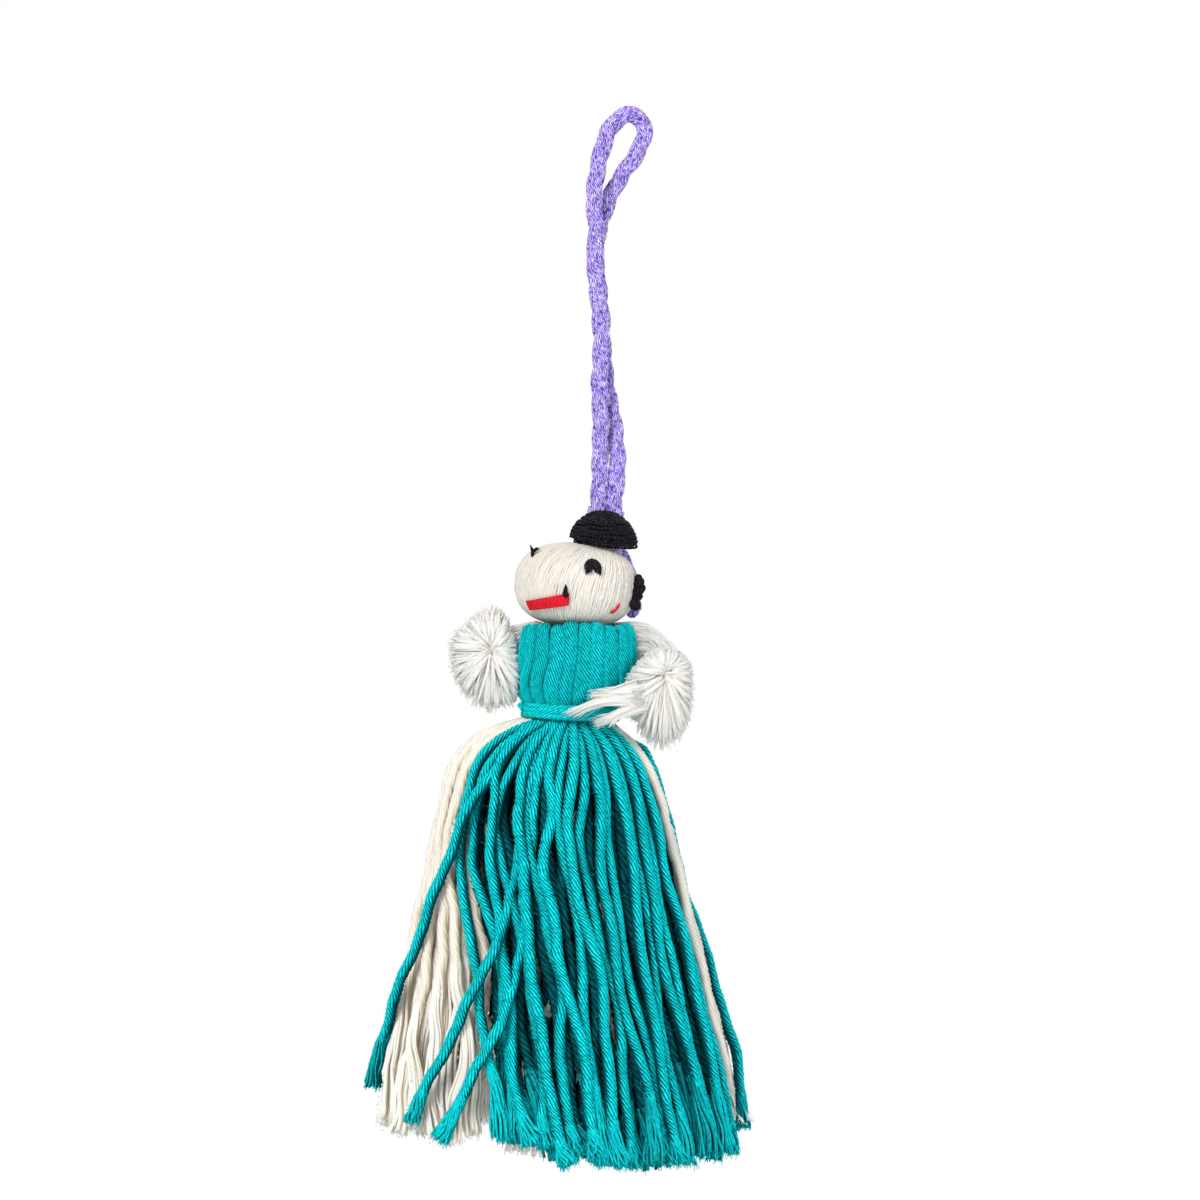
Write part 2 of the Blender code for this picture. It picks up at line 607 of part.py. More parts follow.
def build_bun(doll):
    """A ball of scrap yarn with black floss wound round it from its rim to its top."""
    inset = BUN_FLOSS_DIAMETER + GAP
    turns = [2 * math.pi * k / BUN_SIDES for k in range(BUN_SIDES)]
    rings = [[bun_point(turn, rise, inset) for turn in turns] for rise in BUN_RISE_SHARES]
    under = []
    for share in BUN_UNDER_SHARES:
        ring = []
        for turn in turns:
            x = BUN_AT.x + (BUN_WIDTH / 2 - inset) * share * math.sin(turn)
            y = BUN_AT.y - (BUN_DEPTH / 2 - inset) * share * math.cos(turn)
            ring.append(Vector((x, y, max(head_top_z(x, y) + 2 * GAP,
                                          BUN_AT.z - BUN_OVERHANG_DROP + BUN_FLOSS_DIAMETER))))
        under.append(ring)
    shape = bmesh.new()
    loft(shape, rings + under)
    doll.add_mesh("bun_core", "head", BLACK, shape)

    count = BUN_LOOPS * BUN_LOOP_SIDES
    low, high = BUN_WINDING_SHARES
    points = []
    for k in range(count + 1):
        turn = 2 * math.pi * k / BUN_LOOP_SIDES + math.pi / 2
        points.append(bun_point(turn, low + (high - low) * k / count, BUN_FLOSS_DIAMETER / 2))
    print("bun_winding least gap, mm", round(least_gap(points, BUN_FLOSS_DIAMETER, BUN_LOOP_SIDES) / MM, 2))
    doll.add_tube("bun_winding", "head", BLACK, points, BUN_FLOSS_DIAMETER, resolution=1)


def stitch(doll, name, finish, angles, widths, thickness=STITCH_THICKNESS):
    """A band of thread that lies on the head, along angle points, with a width at each."""
    places = [(on_head(turn, lift, GAP), on_head(turn, lift, GAP + thickness))
              for turn, lift in angles]
    rings = []
    for i, (low, high) in enumerate(places):
        ahead = places[min(i + 1, len(places) - 1)][0]
        behind = places[max(i - 1, 0)][0]
        along = (ahead - behind).normalized()
        out = (high - low).normalized()
        side = along.cross(out).normalized() * (widths[i] / 2)
        narrow = side * STITCH_TOP_SHARE
        rings.append([low - side, low + side, high + narrow, high - narrow])
    shape = bmesh.new()
    loft(shape, rings)
    doll.add_mesh(name, "head", finish, shape)


def eye_angles(centre):
    """The arch of an embroidered eye: up one side, over and down the other."""
    turn, lift = centre
    one_turn = (on_head(turn + 1, lift, 0.0) - on_head(turn, lift, 0.0)).length
    one_lift = (on_head(turn, lift + 1, 0.0) - on_head(turn, lift, 0.0)).length
    per_turn = (EYE_WIDTH - EYE_THREAD_WIDTH) / 2 / one_turn
    per_lift = (EYE_HEIGHT - EYE_THREAD_WIDTH) / 2 / one_lift
    return [(turn + a * per_turn, lift + b * per_lift) for a, b in EYE_ARCH_SHARES]


def build_face(doll):
    """Embroidered eyes, nose, mouth and cheek, and the black tuft and knot at the right side."""
    for name, centre in (("eye_right", RIGHT_EYE_ANGLES), ("eye_left", LEFT_EYE_ANGLES)):
        angles = eye_angles(centre)
        stitch(doll, name, BLACK, angles, [EYE_THREAD_WIDTH] * len(angles))
    half = math.degrees(NOSE_LENGTH / 2 / HEAD_RADII.z)
    nose = [(NOSE_ANGLES[0] + share, NOSE_ANGLES[1] + half * share) for share, _ in NOSE_SHARES]
    stitch(doll, "nose_stitch", BLACK, nose, [NOSE_WIDTH * share for _, share in NOSE_SHARES])
    stitch(doll, "mouth_stitch", RED, MOUTH_ANGLES, [MOUTH_WIDTH * share for share in MOUTH_WIDTH_SHARES])
    stitch(doll, "cheek_stitch", RED, CHEEK_ANGLES, [CHEEK_WIDTH * share for share in CHEEK_WIDTH_SHARES])
    stitch(doll, "side_tuft", BLACK, SIDE_TUFT_ANGLES,
           [SIDE_TUFT_WIDTH * share for share in SIDE_TUFT_WIDTH_SHARES], thickness=SIDE_TUFT_THICKNESS)
    ball(doll, "side_knot", "head", BLACK, on_head(*SIDE_KNOT_ANGLES, GAP + SIDE_KNOT_DIAMETER / 2),
         SIDE_KNOT_DIAMETER)


def ball(doll, name, body, finish, centre, diameter):
    """A small round knot."""
    shape = bmesh.new()
    bmesh.ops.create_icosphere(shape, subdivisions=1, radius=diameter / 2)
    bmesh.ops.translate(shape, verts=shape.verts, vec=centre)
    doll.add_mesh(name, body, finish, shape)


# Neck and torso

def wound_ring(centre, half_width, half_depth, diameter, loops, per_loop, axis=Vector((0, 0, 1))):
    """Points of a thread wound round an axis, each loop beside the last."""
    pitch = diameter + WINDING_GAP
    turn_to = Vector((0, 0, 1)).rotation_difference(axis)
    points = []
    for k in range(loops * per_loop + 1):
        share = k / per_loop
        angle = 2 * math.pi * share + math.pi / 2
        along = (share - loops / 2) * pitch
        points.append(centre + turn_to @ Vector((half_width * math.cos(angle),
                                                 half_depth * math.sin(angle), along)))
    return points


def build_neck(doll):
    """The thread that ties the head yarns into a neck."""
    radius = NECK_RADIUS + GAP + NECK_TIE_DIAMETER / 2
    points = wound_ring(NECK_AT, radius, radius, NECK_TIE_DIAMETER, NECK_TIE_LOOPS, NECK_TIE_SIDES)
    print("neck_tie least gap, mm", round(least_gap(points, NECK_TIE_DIAMETER, NECK_TIE_SIDES) / MM, 2))
    doll.add_tube("neck_tie", "neck", CREAM, points, NECK_TIE_DIAMETER, resolution=1)


def half_ellipse(share, side, half_width, half_depth):
    """A point on the front (side -1) or back (side 1) half of an oval, which stops at the arm slots."""
    edge = math.asin(ARM_SLOT / 2 / half_depth)
    angle = side * (edge + (math.pi - 2 * edge) * share)
    return half_width * math.cos(angle), half_depth * math.sin(angle)


def bodice_section(share_down, inset_out, inset_in, side):
    """The closed outline of half a bodice at one level: ribbed outside, smooth inside."""
    ease = max(0.0, (share_down - BODICE_TAPER_FROM_SHARE) / (1 - BODICE_TAPER_FROM_SHARE))
    ease = ease ** BODICE_TAPER_POWER
    half_width = (BODICE_WIDTH + (WAIST_WIDTH - BODICE_WIDTH) * ease) / 2
    half_depth = (BODICE_DEPTH + (WAIST_DEPTH - BODICE_DEPTH) * ease) / 2
    x = TORSO_X - WAIST_LEFT_OF_TORSO * ease
    z = BODICE_TOP_Z - BODICE_HEIGHT * share_down
    count = BODICE_YARNS * BODICE_YARN_SIDES
    outer, inner = [], []
    for k in range(count + 1):
        share = k / count
        groove = YARN_GROOVE * (1 - abs(math.sin(math.pi * BODICE_YARNS * share)))
        cut = inset_out + groove
        drop = groove if share_down < BODICE_FOLD_SHARE else 0.0
        across, deep = half_ellipse(share, side, half_width - cut, half_depth - cut)
        outer.append(Vector((x + across, TORSO_Y + deep, z - drop)))
        if k % 2 == 0:
            across, deep = half_ellipse(share, side, half_width - inset_in, half_depth - inset_in)
            inner.append(Vector((x + across, TORSO_Y + deep, z - drop)))
    return outer + inner[::-1]


def build_bodice(doll):
    """The teal yarns folded over at the shoulders: one half in front, one behind."""
    for name, side in (("bodice_front", -1), ("bodice_back", 1)):
        rings = [bodice_section(down, out * BODICE_WALL, inward * BODICE_WALL, side)
                 for down, out, inward in BODICE_LEVEL_SHARES]
        shape = bmesh.new()
        loft(shape, rings)
        doll.add_mesh(name, "torso", TEAL, shape)


def build_trunk(doll):
    """The cream core yarns, with the socket for the neck and the way through for the arm hank."""
    top_z = NECK_AT.z + GAP
    shoulder_z = NECK_AT.z - TRUNK_SHOULDER_BELOW_NECK
    bottom_z = NECK_AT.z - TRUNK_HEIGHT
    top_radius = TRUNK_TOP_DIAMETER / 2
    half_width, half_depth = TRUNK_WIDTH / 2, TRUNK_DEPTH / 2
    socket = NECK_RADIUS + NECK_TIE_DIAMETER + 2 * GAP

    def ring(z, across, deep):
        return ellipse_ring(Vector((NECK_AT.x, NECK_AT.y, z)), across, deep, TRUNK_SIDES)

    rings = [
        ring(bottom_z, half_width * TRUNK_END_SHARE, half_depth * TRUNK_END_SHARE),
        ring(bottom_z + GAP, half_width, half_depth),
        ring(shoulder_z - 2 * GAP, half_width, half_depth),
        ring(shoulder_z, top_radius, top_radius),
        ring(top_z, top_radius, top_radius),
        ring(top_z, socket, socket),
        ring(NECK_AT.z - NECK_SOCKET_DEPTH, socket, socket),
    ]
    shape = bmesh.new()
    loft(shape, rings)
    trunk = doll.add_mesh("trunk_yarn", "torso", CREAM, shape)

    middle = NECK_AT + Vector((0, 0, -ARM_HANK_BELOW_NECK))
    left = LEFT_SHOULDER_AT.x + LEFT_SHOULDER_HEIGHT / 2 + GAP
    right = RIGHT_SHOULDER_AT.x - RIGHT_SHOULDER_HEIGHT / 2 + GAP
    route = [Vector((left, middle.y, middle.z + ARM_HANK_SAG)), middle,
             Vector((right, middle.y, middle.z + ARM_HANK_SAG))]
    points = smooth_points(route, ARM_HANK_DIAMETER)
    doll.add_tube("arm_hank", "torso", CREAM, points, ARM_HANK_DIAMETER)
    ends = [points[0] - Vector((top_radius, 0, 0)), *points, points[-1] + Vector((top_radius, 0, 0))]
    shape = bmesh.new()
    loft(shape, tube_rings(ends, [ARM_HANK_DIAMETER / 2 + GAP] * len(ends), ARM_HANK_SIDES))
    doll.cut(trunk, doll.add_mesh("way_for_arm_hank", "torso", CREAM, shape), "DIFFERENCE")


def build_waist(doll):
    """The teal yarn wound round the waist, with its knot at the left."""
    half_width = WAIST_WIDTH / 2 - WAIST_TIE_DIAMETER / 2
    half_depth = WAIST_DEPTH / 2 - WAIST_TIE_DIAMETER / 2
    points = wound_ring(WAIST_AT, half_width, half_depth, WAIST_TIE_DIAMETER, WAIST_TIE_LOOPS,
                        WAIST_TIE_SIDES)
    print("waist_tie least gap, mm", round(least_gap(points, WAIST_TIE_DIAMETER, WAIST_TIE_SIDES) / MM, 2))
    doll.add_tube("waist_tie", "torso", TEAL, points, WAIST_TIE_DIAMETER, resolution=1)
    knot = WAIST_AT - Vector((WAIST_WIDTH / 2 + GAP + WAIST_KNOT_DIAMETER / 2, 0, 0))
    ball(doll, "waist_knot", "torso", TEAL, knot, WAIST_KNOT_DIAMETER)


# Arms

def build_arm(doll, side, shoulder, height, wrist_offset, arch, tuft_size, tuft_shift, sweep):
    """A yarn bundle from a round shoulder to the tied wrist, and the brushed-out hand."""
    body = side + "_arm"
    half = height / 2
    wrist = WRIST_DIAMETER / 2
    wrist_at = shoulder + wrist_offset
    out, down = ARM_BEND_SHARES
    bend = shoulder + Vector((wrist_offset.x * out, 0, wrist_offset.z * down + arch))
    outward = Vector((math.copysign(1, wrist_offset.x), 0, 0))
    tie_length = WRIST_TIE_DIAMETER + WRIST_TIE_LOOPS * (WRIST_TIE_DIAMETER + WINDING_GAP)
    direction = (wrist_at - bend).normalized()
    turns = [share * math.pi / 2 for share in SHOULDER_TURN_SHARES]
    stations = [(shoulder - outward * half * math.cos(a), outward, half * math.sin(a)) for a in turns]
    for share, swell in ARM_TAPER_SHARES:
        place = shoulder.lerp(bend, share).lerp(bend.lerp(wrist_at, share), share)
        stations.append((place, (bend.lerp(wrist_at, share) - shoulder.lerp(bend, share)).normalized(),
                         half * swell))
    stations.append((wrist_at, direction, wrist))
    stations.append((wrist_at + direction * (tie_length + 2 * GAP), direction, wrist))
    rings = []
    for centre, along, tall in stations:
        up = Vector((0, 1, 0)).cross(along).normalized()
        deep = along.cross(up).normalized()
        thick = min(ARM_THICKNESS / 2, tall)
        rings.append([centre + up * tall * math.cos(a) + deep * thick * math.sin(a)
                      for a in (2 * math.pi * k / ARM_SIDES for k in range(ARM_SIDES))])
    shape = bmesh.new()
    loft(shape, rings)
    doll.add_mesh(side + "_arm_yarn", body, CREAM, shape)

    tie_at = wrist_at + direction * (GAP + tie_length / 2)
    radius = wrist + GAP + WRIST_TIE_DIAMETER / 2
    points = wound_ring(tie_at, radius, radius, WRIST_TIE_DIAMETER, WRIST_TIE_LOOPS, WRIST_TIE_SIDES,
                        axis=direction)
    gap = least_gap(points, WRIST_TIE_DIAMETER, WRIST_TIE_SIDES)
    print(side + "_wrist_tie least gap, mm", round(gap / MM, 2))
    doll.add_tube(side + "_wrist_tie", body, CREAM, points, WRIST_TIE_DIAMETER, resolution=1)

    core = wrist_at + direction * (tie_length + 3 * GAP + TUFT_CORE_DIAMETER / 2)
    build_tuft(doll, side + "_hand_tuft", body, core, -direction, Vector(tuft_size) / 2,
               core + Vector(tuft_shift), sweep)


def build_tuft(doll, name, body, core, toward_wrist, reach, middle, sweep):
    """Cut strands that spread from a small core to a rounded outline, some swept to the left."""
    shape = bmesh.new()
    bmesh.ops.create_icosphere(shape, subdivisions=2, radius=TUFT_CORE_DIAMETER / 2)
    bare = math.cos(math.radians(TUFT_WRIST_ANGLE))
    outward = [f for f in shape.faces if f.calc_center_median().normalized().dot(toward_wrist) < bare]
    bmesh.ops.inset_individual(shape, faces=outward, thickness=TUFT_STRAND_GAP)
    for face in outward:
        direction = face.calc_center_median().normalized()
        length = reach_to(core - middle, direction, reach) - TUFT_CORE_DIAMETER / 2
        length = max(length, TUFT_LEAST_STRAND)
        if direction.angle(Vector((-1, 0, 0))) < math.radians(TUFT_SWEPT_ANGLE):
            if direction.y < 0 and direction.z < 0:
                length += sweep
        grown = bmesh.ops.extrude_discrete_faces(shape, faces=[face])["faces"][0]
        middle_of_end = grown.calc_center_median()
        for vert in grown.verts:
            vert.co = middle_of_end + (vert.co - middle_of_end) * TUFT_SPREAD_SHARE + direction * length
    bmesh.ops.translate(shape, verts=shape.verts, vec=core)
    doll.add_mesh(name, body, CREAM, shape)


def reach_to(start, direction, radii):
    """How far a ray from start goes before it leaves an ellipsoid about zero."""
    a = sum((direction[i] / radii[i]) ** 2 for i in range(3))
    b = sum(2 * start[i] * direction[i] / radii[i] ** 2 for i in range(3))
    c = sum((start[i] / radii[i]) ** 2 for i in range(3)) - 1
    inside = b * b - 4 * a * c
    return (-b + math.sqrt(inside)) / (2 * a) if inside > 0 else 0.0


def build_arms(doll):
    """The left arm reaches out to the side, the right one droops in front of the hip."""
    build_arm(doll, "left", LEFT_SHOULDER_AT, LEFT_SHOULDER_HEIGHT,
              Vector((-LEFT_WRIST_OUT, -LEFT_WRIST_FORWARD, -LEFT_WRIST_DOWN)), LEFT_ARM_ARCH,
              LEFT_TUFT_SIZE, LEFT_TUFT_SHIFT, 0.0)
    build_arm(doll, "right", RIGHT_SHOULDER_AT, RIGHT_SHOULDER_HEIGHT,
              Vector((RIGHT_WRIST_OUT, -RIGHT_WRIST_FORWARD, -RIGHT_WRIST_DOWN)), RIGHT_ARM_ARCH,
              RIGHT_TUFT_SIZE, RIGHT_TUFT_SHIFT, RIGHT_TUFT_SWEEP)


# Skirt

def skirt_layout():
    """The angle at the waist of every yarn of the skirt's outside, sheet by sheet, evenly spaced."""
    order = (("front", FRONT_YARNS), ("right_cream", RIGHT_CREAM_YARNS), ("right_edge", 1),
             ("back", BACK_YARNS), ("left_cream", LEFT_CREAM_YARNS))
    slots = {}
    position = -float(FRONT_YARNS - 1)
    for name, count in order:
        slots[name] = [position + k for k in range(count)]
        position += count - 1 + SHEET_GAP_SHARE
    total = position + FRONT_YARNS - 1
    flatness = SKIRT_NECK_DEPTH / SKIRT_NECK_WIDTH
    return {name: even_angles(FRONT_RIGHT_ANGLE, places, total, flatness) for name, places in slots.items()}


SKIRT_ANGLES = skirt_layout()


def swung(angle, drop):
    """The angle at a drop: towards the hem, the seam of teal and cream at the left front moves right."""
    front_left = SKIRT_ANGLES["front"][0]
    back_left = SKIRT_ANGLES["left_cream"][0] - 360
    angle = (angle - back_left) % 360 + back_left
    if angle < front_left:
        weight = (angle - back_left) / (front_left - back_left)
    else:
        weight = max(0.0, (FRONT_RIGHT_ANGLE - angle) / (FRONT_RIGHT_ANGLE - front_left))
    fall = min(1.0, max(0.0, drop / SKIRT_DROP))
    return angle + FRONT_LEFT_SWING * weight * fall ** FRONT_LEFT_SWING_SHARE


def skirt_point(angle, drop, inset):
    """A point on the skirt: an angle round it, a drop below the waist and a distance inwards."""
    turn = math.radians(angle)
    across, deep = math.cos(turn), math.sin(turn)
    left = (1 - across) / 2
    hip = RIGHT_HIP + (LEFT_HIP - RIGHT_HIP) * left
    hip_drop = RIGHT_HIP_DROP + (LEFT_HIP_DROP - RIGHT_HIP_DROP) * left
    flare = RIGHT_FLARE_SHARE + (LEFT_FLARE_SHARE - RIGHT_FLARE_SHARE) * left
    fall = max(0.0, drop - SKIRT_NECK_BELOW_BELT)
    half_width = SKIRT_NECK_WIDTH / 2 + hip * (1 - math.exp(-fall / hip_drop)) + flare * fall
    half_depth = (SKIRT_NECK_DEPTH / 2 + FRONT_HIP * (1 - math.exp(-fall / FRONT_HIP_DROP))
                  + FRONT_FLARE_SHARE * fall)
    drift = fall / SKIRT_DROP
    return Vector((WAIST_X + SKIRT_RIGHT_DRIFT * drift + (half_width - inset) * across,
                   TORSO_Y + SKIRT_BACK_DRIFT * drift + (half_depth - inset) * deep, SKIRT_Z - drop))


def vary(index, seed):
    """A repeatable value between -1 and 1 for a yarn."""
    return math.sin(12.9898 * (index + 1) + 4.137 * seed)


def yarn_path(place, length, start_drop):
    """Points down a yarn whose place at each drop is given, until its length is used up."""
    step = length / YARN_PATH_STEPS
    drop = start_drop
    points = [place(drop)]
    lengths = [0.0]
    while lengths[-1] < length:
        drop += step
        point = place(drop)
        lengths.append(lengths[-1] + (point - points[-1]).length)
        points.append(point)
    picked = []
    for share in YARN_POINT_SHARES:
        goal = share * lengths[-1]
        k = min(range(len(points)), key=lambda j: abs(lengths[j] - goal))
        picked.append(points[k])
    return picked


def add_yarn(shape, points, beside):
    """One yarn as a tube, thinner where its neighbours press on it."""
    radii = [min(YARN_DIAMETER / 2, YARN_FILL_SHARE * (a - b).length) for a, b in zip(points, beside)]
    loft(shape, tube_rings(points, radii, YARN_SIDES))


def collar_section(first, last, drop, inset_out, inset_in, count):
    """The closed outline of a sector of the gathered waist at one level."""
    angles = [first + (last - first) * k / count for k in range(count + 1)]
    outer = [skirt_point(a, drop, inset_out) for a in angles]
    inner = [skirt_point(a, drop, inset_in) for a in angles]
    return outer + inner[::-1]


def build_yarn_sheet(doll, name, finish, sheet_name, length, seed, rows=1):
    """Yarns side by side, all gathered into their part of the waist."""
    angles = SKIRT_ANGLES[sheet_name]
    spread = (angles[-1] - angles[0]) / (len(angles) - 1)
    sections = max(2, len(angles) // 2)
    wall = SKIRT_COLLAR_WALL
    drops = [-SKIRT_NECK_ABOVE_BELT, *(SKIRT_COLLAR_DROP * share for share in SKIRT_COLLAR_SHARES)]
    first = angles[0] - (angles[1] - angles[0]) / 2
    last = angles[-1] + (angles[-1] - angles[-2]) / 2
    shape = bmesh.new()
    loft(shape, [collar_section(first, last, drop, 0.0, wall, sections) for drop in drops])
    sheet = doll.add_mesh(name, "skirt", finish, shape)

    strands = bmesh.new()
    start = SKIRT_COLLAR_DROP * SHEET_YARN_START_SHARE
    for row in range(rows):
        for i in range(len(angles) - row):
            angle = angles[i] + row * spread / 2
            place = yarn_place(angle, i, seed, row, spread)
            beside = yarn_place(angle + spread, i, seed, row, spread)
            reach = length + YARN_LENGTH_VARIATION * vary(i, seed + row)
            points = yarn_path(place, reach, start)
            add_yarn(strands, points, [beside(SKIRT_Z - p.z) for p in points])
    doll.cut(sheet, doll.add_mesh(name + "_strands", "skirt", finish, strands), "UNION")


def yarn_place(angle, index, seed, row, spread):
    """The place of a yarn at each drop, with a slow wave to the side."""
    def place(drop):
        fall = min(1.0, max(0.0, drop) / (SKIRT_DROP * YARN_SETTLE_SHARE))
        gathered = SKIRT_COLLAR_WALL / 2
        settled = YARN_DIAMETER / 2 + row * (YARN_DIAMETER + GAP)
        inset = gathered + (settled - gathered) * fall
        wave = math.sin(drop / SKIRT_DROP * YARN_WAVE_TURN + YARN_WAVE_SHIFT * vary(index, seed))
        sway = YARN_WAVE_SHARE * spread * fall * wave
        return skirt_point(swung(angle + sway, drop), drop, inset)
    return place


def build_core(doll):
    """The cream yarns that fill the skirt inside."""
    shape = bmesh.new()
    rings = []
    for drop in (-SKIRT_NECK_ABOVE_BELT, 0.0, SKIRT_COLLAR_DROP):
        centre = Vector((WAIST_X, TORSO_Y, SKIRT_Z - drop))
        rings.append(ellipse_ring(centre, CORE_PLUG_WIDTH / 2, CORE_PLUG_DEPTH / 2, CORE_PLUG_SIDES))
    loft(shape, rings)
    plug = doll.add_mesh("underskirt_core", "skirt", CREAM, shape)

    strands = bmesh.new()
    start = SKIRT_COLLAR_DROP * CORE_YARN_START_SHARE
    flatness = SKIRT_NECK_DEPTH / SKIRT_NECK_WIDTH
    angles = even_angles(0.0, range(CORE_RING_YARNS), CORE_RING_YARNS, flatness)

    def ring_place(angle, share):
        def place(drop):
            centre = Vector((WAIST_X, TORSO_Y, SKIRT_Z - drop))
            centre.x += SKIRT_RIGHT_DRIFT * drop / SKIRT_DROP
            centre.y += SKIRT_BACK_DRIFT * drop / SKIRT_DROP
            return centre + (skirt_point(angle, drop, 0.0) - centre) * share
        return place

    for i, angle in enumerate(angles):
        place = ring_place(angle, CORE_RING_SHARE)
        beside = ring_place(angle + 360 / CORE_RING_YARNS, CORE_RING_SHARE)
        length = SKIRT_DROP - CORE_YARN_SHORT_OF_DROP + YARN_LENGTH_VARIATION * vary(i, 9)
        points = yarn_path(place, length, start)
        add_yarn(strands, points, [beside(SKIRT_Z - p.z) for p in points])
    doll.cut(plug, doll.add_mesh("underskirt_core_strands", "skirt", CREAM, strands), "UNION")


def build_loose_yarn(doll, name, angles, drop_shares, inset):
    """A single yarn that lies apart from the sheets, between two shares of the skirt's drop."""
    start, end = (SKIRT_DROP * share for share in drop_shares)
    route = []
    for k, angle in enumerate(angles):
        drop = start + (end - start) * k / (len(angles) - 1)
        route.append(skirt_point(angle, drop, inset))
    doll.add_tube(name, "skirt", TEAL, smooth_points(route, 3 * YARN_DIAMETER), YARN_DIAMETER,
                  resolution=1)


def build_skirt(doll):
    """The teal skirt in front and behind, over cream yarns, with a few yarns out of place."""
    build_yarn_sheet(doll, "skirt_front", TEAL, "front", SKIRT_DROP + FRONT_YARN_PAST_DROP, 1)
    build_yarn_sheet(doll, "skirt_back", TEAL, "back", SKIRT_DROP + BACK_YARN_PAST_DROP, 2)
    build_yarn_sheet(doll, "underskirt_left", CREAM, "left_cream", SKIRT_DROP, 3, rows=2)
    build_yarn_sheet(doll, "underskirt_right", CREAM, "right_cream", SKIRT_DROP, 4)
    build_core(doll)
    outside = -(YARN_DIAMETER / 2 + LOOSE_YARN_CLEARANCE)
    build_loose_yarn(doll, "loose_strand_left", LOOSE_LEFT_ANGLES, LOOSE_LEFT_DROP_SHARES, outside)
    build_loose_yarn(doll, "crossing_strand_upper", CROSSING_UPPER_ANGLES, CROSSING_UPPER_DROP_SHARES,
                     outside)
    build_loose_yarn(doll, "crossing_strand_lower", CROSSING_LOWER_ANGLES, CROSSING_LOWER_DROP_SHARES,
                     outside)
    build_loose_yarn(doll, "right_edge_strand", SKIRT_ANGLES["right_edge"] * RIGHT_EDGE_STEPS,
                     RIGHT_EDGE_DROP_SHARES, YARN_DIAMETER / 2)


def main():
    """Build the whole doll."""
    clear_scene()
    doll = Doll()
    build_cord(doll)
    build_head(doll)
    build_neck(doll)
    build_bodice(doll)
    build_trunk(doll)
    build_waist(doll)
    build_arms(doll)
    build_skirt(doll)


main()
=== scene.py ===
"""Looks of the hanging yarn doll: plied yarns, brushed-out hands, stitched face and plaited cord.

Places are in metres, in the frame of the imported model, where a note doesn't say millimetres. The origin
is the seat at the top of the cord's eye, +X is to the viewer's right, +Y points away and +Z is up.
"""

import json
import logging
import math
from collections import defaultdict
from collections.abc import Sequence
from dataclasses import dataclass, field
from enum import Enum
from functools import cache

import bpy
import numpy as np
from mathutils import Matrix, Vector

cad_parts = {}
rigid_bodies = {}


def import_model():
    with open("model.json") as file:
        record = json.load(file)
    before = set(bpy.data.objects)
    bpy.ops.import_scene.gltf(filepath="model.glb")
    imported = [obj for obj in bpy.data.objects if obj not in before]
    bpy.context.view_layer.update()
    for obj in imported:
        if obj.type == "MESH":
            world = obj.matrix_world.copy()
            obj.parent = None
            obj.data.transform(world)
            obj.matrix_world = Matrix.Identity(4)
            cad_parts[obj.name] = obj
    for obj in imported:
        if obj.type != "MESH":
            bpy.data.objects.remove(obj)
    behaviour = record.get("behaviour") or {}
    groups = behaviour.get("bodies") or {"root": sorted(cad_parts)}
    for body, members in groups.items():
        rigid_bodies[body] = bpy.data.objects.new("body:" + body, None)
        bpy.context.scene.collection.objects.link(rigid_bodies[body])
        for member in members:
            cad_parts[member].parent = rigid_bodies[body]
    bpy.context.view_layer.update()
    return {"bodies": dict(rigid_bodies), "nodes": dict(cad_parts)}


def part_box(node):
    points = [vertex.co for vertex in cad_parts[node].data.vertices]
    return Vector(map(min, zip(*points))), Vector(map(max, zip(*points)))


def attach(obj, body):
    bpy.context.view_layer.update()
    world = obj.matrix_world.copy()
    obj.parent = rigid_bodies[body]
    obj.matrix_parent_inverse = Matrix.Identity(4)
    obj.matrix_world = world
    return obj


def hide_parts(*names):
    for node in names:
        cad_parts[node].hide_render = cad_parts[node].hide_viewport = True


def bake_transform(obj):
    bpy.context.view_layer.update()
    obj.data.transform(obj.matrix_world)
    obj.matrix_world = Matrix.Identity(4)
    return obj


MM = 0.001
TURN = 2 * math.pi
SPLINE_STEPS = 24
SEED_RANGE = 1 << 30
LOG = logging.getLogger("yarn_doll")
Array = np.ndarray
Rng = np.random.Generator


class Slot(Enum):
    """The record's material slots."""

    CREAM = "cream_yarn"
    TEAL = "teal_yarn"
    BLACK = "black_floss"
    RED = "red_floss"
    PLAIT = "plaited_floss"


class Half(Enum):
    """The halves of the bodice, by the way that they face along y."""

    FRONT = -1
    BACK = 1


# Curves and frames


def in_metres(points: Sequence) -> Array:
    """Turn a point or points in millimetres into an array in metres."""
    return np.array(points, float) * MM


def unit(vectors: Array) -> Array:
    """Scale vectors, which lie on the last axis, to length one."""
    return vectors / np.maximum(np.linalg.norm(vectors, axis=-1, keepdims=True), 1e-12)


def arc_lengths(paths: Array) -> Array:
    """Measure how far along its path each point is, for one path or several."""
    steps = np.linalg.norm(np.diff(paths, axis=-2), axis=-1)
    return np.concatenate([np.zeros(steps.shape[:-1] + (1,)), np.cumsum(steps, axis=-1)], axis=-1)


def read_at(goals: Array, places: Array, values: Array) -> Array:
    """Read vectors that are given at places along a line at other places."""
    return np.stack([np.interp(goals, places, values[:, axis]) for axis in range(3)], axis=1)


def resample(path: Array, count: int, length: float | None = None) -> Array:
    """Space points evenly along a path.

    Args:
        path: The path's own points.
        count: How many points to return.
        length: How far from the path's start to end, or None for its whole length.

    Returns:
        The evenly spaced points.
    """
    along = arc_lengths(path)
    end = along[-1] if length is None else min(length, along[-1])
    return read_at(np.linspace(0.0, end, count), along, path)


